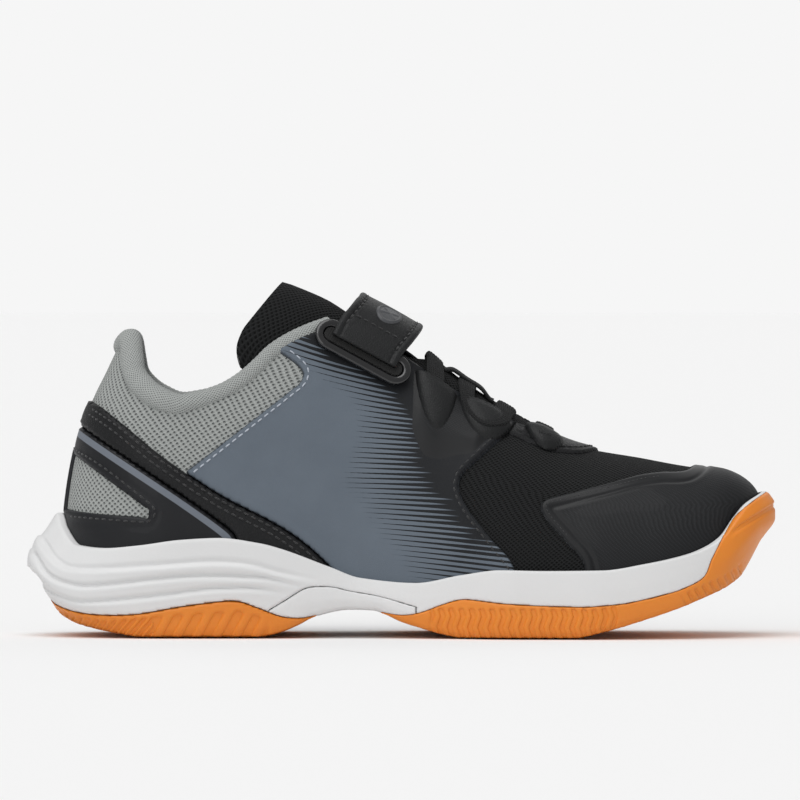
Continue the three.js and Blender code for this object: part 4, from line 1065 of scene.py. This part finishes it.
def loftStrip(name, centre, across, section, widths=None, heights=None, relief=None):
    # Sweeps a (sideways, height) section along centre points with a given sideways direction
    run = unit(np.gradient(centre, axis=0))
    sideways = unit(across - run * np.sum(across * run, axis=1, keepdims=True))
    out = np.cross(sideways, run)
    if widths is None:
        widths = np.ones(len(centre))
    if heights is None:
        heights = np.ones(len(centre))
    w = section[None, :, 0] * widths[:, None]
    h = section[None, :, 1] * heights[:, None]
    length = runAlong(centre)[:, None] * np.ones((1, len(section)))
    if relief is not None:
        h = h + relief(length, w, section[None, :, 1])
    rings = centre[:, None, :] + w[..., None] * sideways[:, None, :] + h[..., None] * out[:, None, :]
    ringRun = np.concatenate([[0], np.cumsum(np.hypot(*np.diff(section, axis=0).T))])
    uvs = np.stack([length, np.ones((len(centre), 1)) * ringRun[None, :]], -1)
    return addLoft(name, rings, uvs), out


# Collar: padded knit roll on the cut edge, thicker behind the heel
collar = {"radius": 2.3, "heelRadius": 3.4, "crown": (-85.4, 0.0, 89.0), "offset": -1.3, "sides": 28,
          "steps": 420}


def rollRadius(x):
    # The roll swells from its sides to the back of the heel
    return np.interp(x, [-82, -74, -60], [collar["heelRadius"], collar["heelRadius"], collar["radius"]])


def collarBinding():
    line = np.array(visibleSeam[3:-1])
    run = unit(np.gradient(line, axis=0))
    rise = rollRadius(line[:, 0]) * np.interp(line[:, 0], [-82, -70, -30, 0], [0.5, -0.1, 0.3, 0.75])
    lifted = line + np.stack([-run[:, 1], run[:, 0]], -1) * rise[:, None]
    sides = []
    for side in (-1, 1):
        u, phi = wallSpot(lifted[:, 0], lifted[:, 1], side, collar["offset"])
        sides.append(skin(u, phi, collar["offset"]))
    path = smoothLine([*sides[0][::-1], collar["crown"], *sides[1]], collar["steps"])
    radius = rollRadius(path[:, 0])
    run = unit(np.gradient(path, axis=0))
    up = np.array([0.35, 0, 1.0])
    sideways = unit(np.cross(run, up))
    over = np.cross(sideways, run)
    angle = np.linspace(0, 2 * np.pi, collar["sides"], endpoint=False)
    length = runAlong(path)
    rib = 0.07 * np.sin(length[:, None] * 2 * np.pi / 1.7 + 3 * angle[None, :])
    thick = radius[:, None] + rib
    rings = (path[:, None, :] + (thick * np.cos(angle))[..., None] * sideways[:, None, :]
             + (thick * np.sin(angle) * 1.12)[..., None] * over[:, None, :])
    uvs = np.stack([length[:, None] + 0 * angle, angle[None, :] * radius[:, None]], -1)
    piece = addLoft("collar_binding_roll", rings, uvs)
    finishPiece(piece, looks["greyRoll"], "grey_roll", "collar_binding")


# Tongue: one padded sheet under the throat, curved across the instep, padded from part way up to its top
tongueMiddle = smoothLine([(46, 0, 57), (30, 0, 65.6), (14, 0, 75.6), (5, 0, 82.8), (-9, 0, 93.2),
                           (-17, 0, 98.6), (-25, 0, 103.2), (-37, 0, 108.2)], 400)
tongueShares = np.linspace(0, 1, len(tongueMiddle))
tongueDrop = through([(-38, 40), (-17, 36), (14, 26), (46, 18)])
tongueTurn = through([(-38, 74), (-17, 72), (46, 62)])
tongue = {"half": 16.0, "fold": 0.715, "sweep": 9.0, "steps": 150,
          "foldPoint": (-0.01203, 0, 0.09549), "foldAlong": (-0.86, 0, 0.52)}


def tonguePoint(share, across, offset):
    centre = spotsAlong(share, tongueShares, tongueMiddle)
    ahead = spotsAlong(share + 0.01, tongueShares, tongueMiddle)
    behind = spotsAlong(share - 0.01, tongueShares, tongueMiddle)
    run = unit(ahead - behind)
    out = np.stack([run[..., 2], 0 * run[..., 2], -run[..., 0]], -1)
    angle = np.radians(tongueTurn(centre[..., 0])) * across
    drop = tongueDrop(centre[..., 0]) * (1 - np.cos(angle))
    rear = np.clip((share - 0.6) / 0.4, 0, 1) ** 1.6
    edge = np.abs(across)
    slide = tongue["sweep"] * rear * (edge ** 1.7 - 0.9 * np.clip((edge - 0.72) / 0.28, 0, 1) ** 2.2)
    point = centre + out * (offset * np.cos(angle) - drop)[..., None] + run * slide[..., None]
    point[..., 1] += (tongue["half"] + offset) * np.sin(angle)
    return point


def tongueLayer(name, top, bottom, shrink, look, slotName, nodes, ends=(0.0, 1.0)):
    share = np.linspace(*ends, tongue["steps"])
    section = flatRing(1.0, 0.03, 60, 5)
    s = section[:, 0][None, :] * shrink * np.ones((len(share), 1))
    high = section[:, 1][None, :] / 0.03
    padding = np.interp(share, [0, tongue["fold"] - 0.08, tongue["fold"] + 0.12, 0.97, 1.0],
                        [0, 0, 1, 1, 0.55])
    lid = top(padding)[:, None]
    base = bottom(padding)[:, None]
    crown = 0.7 * padding[:, None] * (1 - s ** 4) * (high > 0)
    middle = spotsAlong(share, tongueShares, tongueMiddle[:, [0, 2]])
    gap = topAt(np.clip(middle[:, 0], 5, 50), 0 * share, 0.6).reshape(-1, 3)[:, 2] - middle[:, 1]
    window = np.clip((middle[:, 0] - 1) / 8, 0, 1) * np.clip((47 - middle[:, 0]) / 5, 0, 1)
    rise = np.clip(gap * 0.86 + 0.6, 0, 7) * window
    crown = crown + rise[:, None] * (1 - np.clip((np.abs(s) - 0.38) / 0.22, 0, 1) ** 2) * (np.abs(s) < 0.6)
    offset = (lid + base) / 2 + high * (lid - base) / 2 + crown
    rings = tonguePoint(share[:, None] + 0 * s, s, offset)
    uvs = np.stack([share[:, None] * 105 + 0 * s, s * 22 + np.sign(high) * 40], -1)
    piece = addLoft(name, rings, uvs)
    finishPiece(piece, looks[look], slotName, *nodes, body=None)
    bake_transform(piece)
    return piece


def makeTongue():
    face = tongueLayer("tongue_face", lambda p: 0 * p, lambda p: -1.0 - 2.4 * p, 1.0, "blackMesh",
                       "black_mesh", ("tongue_lower", "tongue_top", "tongue_padding"))
    tongueLayer("tongue_inside", lambda p: -1.0 - 2.3 * p, lambda p: -1.9 - 2.9 * p, 0.985, "greyLining",
                "grey_knit", ("tongue_lower_lining", "tongue_lining"), (0.0, 1.006))


# Strap, its slot frame and its badge
slotRun = unit(np.array([0.877, 0, -0.48]))
slotUp = unit(np.array([0.48, 0, 0.877]))
slotSeen = np.array([-12.5, 0, 86.2])
strap = {"width": 22.0, "wall": 1.5, "stand": 1.3, "frameWall": 1.8, "stack": 6.3, "hem": 2.4, "steps": 260}


def wallBeside(rise, side, offset):
    seen = slotSeen + slotUp * rise
    u, phi = wallSpot(seen[0], seen[2], side, offset)
    return skin(u, phi, offset).reshape(3)


def slotAxes():
    rise = wallBeside(5, -1, 1.2) - wallBeside(-5, -1, 1.2)
    rise = unit(rise - slotRun * rise.dot(slotRun))
    out = unit(np.cross(slotRun, rise))
    return rise, out, wallBeside(0, -1, 1.2) + out * strap["stand"]


slotRise, slotOut, slotCentre = slotAxes()


def slotFrame():
    frameShape = {"length": 27.0, "height": 5.0, "rim": 2.6, "sides": 20, "steps": 160}
    radius = (frameShape["height"] + frameShape["rim"]) / 2
    straight = (frameShape["length"] - frameShape["height"]) / 2
    perimeter = 4 * straight + 2 * math.pi * radius
    rings = []
    for k in range(frameShape["steps"]):
        s = perimeter * k / frameShape["steps"]
        if s < 2 * straight:
            place, facing = (s - straight, -radius), (0, -1)
        elif s < 2 * straight + math.pi * radius:
            a = (s - 2 * straight) / radius - math.pi / 2
            facing = (math.cos(a), math.sin(a))
            place = (straight + radius * facing[0], radius * facing[1])
        elif s < 4 * straight + math.pi * radius:
            place, facing = (straight - (s - 2 * straight - math.pi * radius), radius), (0, 1)
        else:
            a = (s - 4 * straight - math.pi * radius) / radius + math.pi / 2
            facing = (math.cos(a), math.sin(a))
            place = (-straight + radius * facing[0], radius * facing[1])
        centre = slotCentre + slotRun * place[0] + slotRise * place[1] + slotOut * 0.9
        away = slotRun * facing[0] + slotRise * facing[1]
        ring = []
        for j in range(frameShape["sides"]):
            a = 2 * math.pi * j / frameShape["sides"]
            c, d = math.cos(a), math.sin(a)
            wide = 1.32 * abs(c) ** 0.7 * (1 if c > 0 else -1)
            high = 0.98 * abs(d) ** 0.7 * (1 if d > 0 else -1)
            ring.append(centre + away * wide + slotOut * high)
        rings.append(ring)
    piece = addLoft("slot_frame_ring", np.array(rings), closed=True)
    finishPiece(piece, looks["gloss"], "gloss_black", "slot_frame")


def strapPath():
    hinge = slotCentre + slotOut * (strap["frameWall"] + 0.9)

    def arch(y, rise):
        point = slotSeen + slotUp * rise
        return np.array([point[0], y, point[2]])

    def onLateral(rise):
        point = wallBeside(rise, 1, strap["stack"])
        return arch(point[1], (point - slotSeen).dot(slotUp))
    lean = slotRun * 1.6
    # The arch from the hinge over the instep, then down the lateral wall
    points = [hinge - slotRise * 0.4, hinge + slotRise * 5.2, arch(-12.8, 12.0) + lean * 0.7,
              arch(-6.8, 14.9) + lean, arch(0, 16) + lean, arch(7, 15.2) + lean, arch(14, 12.4) + lean * 0.6,
              onLateral(5), onLateral(-2), onLateral(-9), onLateral(-15)]
    return smoothLine(points, strap["steps"])


def makeStrap():
    centre = strapPath()
    total = runAlong(centre)[-1]
    across = np.tile(slotRun, (len(centre), 1))
    half = strap["width"] / 2

    def hems(length, w, high):
        edge = half - np.abs(w)
        raised = 0.3 * np.clip(1 - np.abs(edge - 1.1) / 1.1, 0, 1) ** 0.5
        creased = -0.25 * np.exp(-((edge - strap["hem"]) / 0.35) ** 2)
        pinch = 0.1 * np.cos(length * 2 * np.pi / 2.5) * np.exp(-((edge - strap["hem"]) / 0.8) ** 2)
        crown = 0.35 * (1 - (w / half) ** 2)
        return np.where(high > 0, raised + creased + pinch + crown, 0)
    ends = np.minimum(1, endRound(len(centre), total, 7.0) ** 0.6 + np.linspace(1, 0, len(centre)) ** 0.25)
    face, out = loftStrip("strap_face", centre, across, flatRing(half, strap["wall"] / 2, 60, 7), ends, None,
                          hems)
    finishPiece(face, looks["strapLeather"], "black_leather", "strap", body="strap_flap")
    low, high = int(0.16 * len(centre)), int(0.985 * len(centre))
    back = centre[low:high] - out[low:high] * 1.35
    section = flatRing(half - 0.7, 0.5, 20, 4)
    piece = loftStrip("strap_back", back, across[low:high], section, ends[low:high])[0]
    finishPiece(piece, looks["blackLining"], "backing", "strap_lining", body="strap_flap")
    rows = []
    for sign in (-1, 1):
        line = centre + slotRun * sign * (half - strap["hem"]) + out * (strap["wall"] / 2 + 0.1)
        rows.append((line[16:-16], out[16:-16]))
    for shareAt in (0.125, 0.975):
        k = int(shareAt * len(centre))
        stretch = np.linspace(-half + 3, half - 3, 30)
        rows.append((centre[k] + slotRun * stretch[:, None] + out[k] * (strap["wall"] / 2 + 0.35),
                     np.tile(out[k], (30, 1))))
    sew("strap_stitches", rows, "blackThread", "black_leather", 2.5, 1.7, 0.25, "strap_flap")
    return centre, out


def strapBadge(centre, out):
    # Plain oval plaque with a raised rim and two crossing bars
    plaque = {"along": 5.4, "across": 4.2, "place": 0.235, "rings": 26, "spokes": 72}
    middle = int(plaque["place"] * len(centre))
    length = runAlong(centre)

    def onStrap(p, q, lift):
        at = length[middle] + p
        raised = unit(spotsAlong(at, length, out)) * lift[..., None]
        return spotsAlong(at, length, centre) + slotRun * q[..., None] + raised
    radial, angle = np.meshgrid(np.linspace(0, 1, plaque["rings"]),
                                np.linspace(0, 2 * np.pi, plaque["spokes"], endpoint=False), indexing="ij")
    rim = 0.32 * np.exp(-((radial - 0.86) / 0.07) ** 2)
    p, q = radial * plaque["along"] * np.cos(angle), radial * plaque["across"] * np.sin(angle)
    bars = 0.22 * np.maximum(np.exp(-((p - 0.5 * q) / 0.7) ** 4),
                             np.exp(-((p + 0.9 * q) / 0.6) ** 4)) * (radial < 0.72)
    base = strap["wall"] / 2 + 0.42
    lift = base + 0.25 * np.sqrt(np.clip(1 - radial ** 8, 0, 1)) + rim + bars
    points = onStrap(p, q, lift)
    piece = addLoft("strap_badge_plaque",
                    np.vstack([points[1:], onStrap(p[-1:], q[-1:], 0 * lift[-1:] + base - 0.5)]))
    finishPiece(piece, looks["badge"], "gloss_black", "strap_badge", body="strap_flap")


# Lace, the leather lobes that it runs out of, and the webbing keeper
lacing = {"low": 1.7, "high": 2.7, "width": 6.0, "wall": 1.5, "steps": 900}
laceRoute = [(10.2, -18.5), (10.2, -13), (9.9, 0), (9.2, 13), (10.4, 17.4), (14.5, 19.4), (18.6, 17.4),
             (20, 13), (20, 0), (20, -13), (21.4, -17.4), (25.5, -19.4), (29.6, -17.4), (31, -13), (32, 0),
             (33, 13), (34.3, 17.4), (38.2, 19.2), (42.2, 17.2), (43.5, 13), (43.7, 0), (43.5, -13),
             (43.3, -16.5)]


def laceRibbon():
    plan = smoothLine(laceRoute, lacing["steps"])
    out = normalAt(plan[:, 0], plan[:, 1])
    lift = np.interp(np.abs(plan[:, 1]), [4, 13], [lacing["low"], lacing["high"]])
    centre = smoothLine(topAt(plan[:, 0], plan[:, 1], lift)[::6], lacing["steps"])
    nearHole = np.abs(plan[:, 1])
    widths = np.interp(nearHole, [0, 9, 14, 20], [1.04, 1.0, 0.78, 0.6])
    heights = np.interp(nearHole, [0, 9, 14, 20], [1.0, 1.05, 1.25, 1.1])

    def braid(length, w, high):
        plait = np.sin((length + w) * 2 * np.pi / 1.9) * np.sin((length - w) * 2 * np.pi / 1.9)
        return np.sign(high) * (0.14 * plait + 0.3 * np.sqrt(np.clip(1 - (w / 3.1) ** 2, 0, 1)))
    run = unit(np.gradient(centre, axis=0))
    section = flatRing(lacing["width"] / 2, lacing["wall"] / 2 - 0.1, 22, 5)
    piece = loftStrip("lace_braid", centre, np.cross(out, run), section, widths, heights, braid)[0]
    finishPiece(piece, looks["lacing"], "hook_tape", "lace")


def eyeletLobes():
    # Half domes of padded leather over the places where the lace turns back
    lobes = [("lace_loop_medial_1", 10.4, -13.2, 6.6, 9.0, 3.6, 0.8),
             ("lace_loop_medial_2", 25.5, -13.4, 8.4, 9.2, 3.6, 0.8),
             ("lace_loop_medial_3", 43.6, -10.6, 6.2, 8.0, 3.6, 0.6),
             ("lace_loop_lateral_1", 14.6, 13.4, 8.2, 9.2, 3.6, 0.8),
             ("lace_loop_lateral_2", 38.2, 13.2, 8.0, 9.0, 3.6, 0.4)]
    for name, x, y, wide, deep, tall, low in lobes:
        sign = math.copysign(1, y)
        p, q = (sideX - x) / wide, (planY - y) * sign / deep
        radial = np.hypot(p, q)
        area = np.minimum(np.where(sideZ > 45, (1 - radial) * min(wide, deep), -20), (planY - y) * sign)
        crest = np.sqrt(np.clip(1 - radial ** 2.2, 0, 1))
        hollow = 0.25 * np.exp(-((q - 0.12) / 0.08) ** 2)
        piece = cutPanel(name.replace("lace_loop", "eyelet_lobe"), area, low, low + 0.3, 1.2,
                         tall * crest - hollow * crest)
        finishPiece(piece, looks["strapLeather"], "black_leather", name)


def stripOver(name, start, end, feet, bridge, width, wall, look, slotName, node):
    shares = np.array([0, 0.08, 0.24, 0.5, 0.76, 0.92, 1])[:, None]
    spots = np.array(start) + (np.array(end) - np.array(start)) * shares
    offsets = np.array([feet[0], feet[0], bridge, bridge, bridge, feet[1], feet[1]])
    centre = smoothLine(topAt(spots[:, 0], spots[:, 1], offsets), 90)
    heading = unit(np.array(end) - np.array(start))
    middle = (np.array(start) + np.array(end)) / 2
    across = unit(topAt(middle[0] + heading[1], middle[1] - heading[0], 0)
                  - topAt(middle[0] - heading[1], middle[1] + heading[0], 0)).reshape(3)
    piece = loftStrip(name, centre, np.tile(-across, (len(centre), 1)),
                      flatRing(width / 2, wall / 2, 16, 4))[0]
    return finishPiece(piece, looks[look], slotName, node)


# Footbed and the boards under it
def footbed():
    for name, low, high, look, slotName, node, body in (
            ("lasting_board", -1.4, -0.3, "board", "board", "strobel_board", "shoe"),
            ("footbed_foam", 0.0, 4.0, "foam", "midsole_foam", "insole", "insole_pad"),
            ("footbed_cover", 4.2, 5.2, "blackLining", "backing", "insole_topcover", "insole_pad")):
        x, loop = np.linspace(-96.5, 102.5, 140), flatRing(1.0, 0.04, 26, 5)
        share = stationU(x)
        blendIn = np.clip((x + 19) / 24, 0, 1)
        insetBy = -5.7 - 1.4 + 2.6 * blendIn
        near, far = skin(share, 0.0, insetBy), skin(share, np.pi, insetBy)
        across = (loop[:, 0] + 1) / 2
        rings = near[:, None, :] + (far - near)[:, None, :] * across[None, :, None]
        top = (loop[:, 1] > 0)
        dish = 0.8 * (np.abs(loop[:, 0]) ** 3)[None, :] * top * (high > 4.5)
        rings[..., 2] = featherLine(x)[:, None] + np.where(top, high, low)[None, :] + dish
        uvs = np.stack([x[:, None] + 0 * rings[..., 0], rings[..., 1]], -1)
        piece = addLoft(name, rings, uvs)
        finishPiece(piece, looks[look], slotName, node, body=body)


# Seams
def sewUpper():
    lift = layers["overlayOut"]
    rear = inset(quarterRear, -1.7)[6:]
    front = inset([p for p in quarterFront if p[1] > 12], -1.6)
    bandTop = inset([p for p in bandUpper if 14 < p[1] < 80], 1.5)
    bandTopTwo = inset([p for p in bandUpper if 14 < p[1] < 80], 3.4)
    window = smoothLine([(-100.4, 57.2), (-91, 51.8), (-77.6, 41.4), (-75.2, 38.4), (-76.4, 35.8),
                         (-79.4, 35.2), (-90, 35.9), (-101.2, 36.6)], 80)
    capEdge = inset([p for p in toeCapRear if 22 < p[1] < 51], 1.7)
    for side, sign in (("medial", -1), ("lateral", 1)):
        grey = [sideRow(rear, sign, lift)]
        sew("quarter_rear_seam_" + side, grey, "greyThread", "slate_leather", 2.5, 1.8, 0.28)
        dark = [sideRow(front, sign, lift), sideRow(bandTop[4:], sign, lift + 0.3),
                sideRow(bandTopTwo[4:], sign, lift + 0.3), sideRow(window, sign, lift - 0.2)]
        sew("overlay_seams_" + side, dark, "blackThread", "black_leather", 2.5, 1.7, 0.27)
        sew("toe_cap_seam_" + side, [sideRow(capEdge, sign, lift - 0.35)], "blackThread", "black_film", 1.4,
            1.0, 0.14)
    facing = [planRow([(44, sign * 16.2), (50, sign * 13.6), (55.6, sign * 8.6), (58.6, 0)], lift)
              for sign in (-1, 1)]
    sew("vamp_facing_seam", facing, "blackThread", "black_leather", 2.4, 1.6, 0.25)


def finishHidden():
    # CAD pieces that keep their own shape get their own finish
    keep = {"heel_counter": "board", "toe_puff": "board", "strap_anchor": "hook", "hook_patch": "hook",
            "loop_patch": "hook"}
    for node, look in keep.items():
        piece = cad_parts[node]
        for place in piece.material_slots:
            place.material = looks[look]


collarBinding()
makeTongue()
slotFrame()
strapCentre, strapOutward = makeStrap()
strapBadge(strapCentre, strapOutward)
laceRibbon()
eyeletLobes()
stripOver("lace_keeper_webbing", (12, -2), (28, -2), (1.2, 1.2), 2.9, 8.0, 0.9, "lacing", "hook_tape",
          "lace_keeper")
footbed()
sewUpper()
finishHidden()
print("collar, tongue, strap, lace and seams ready")


stageScene()
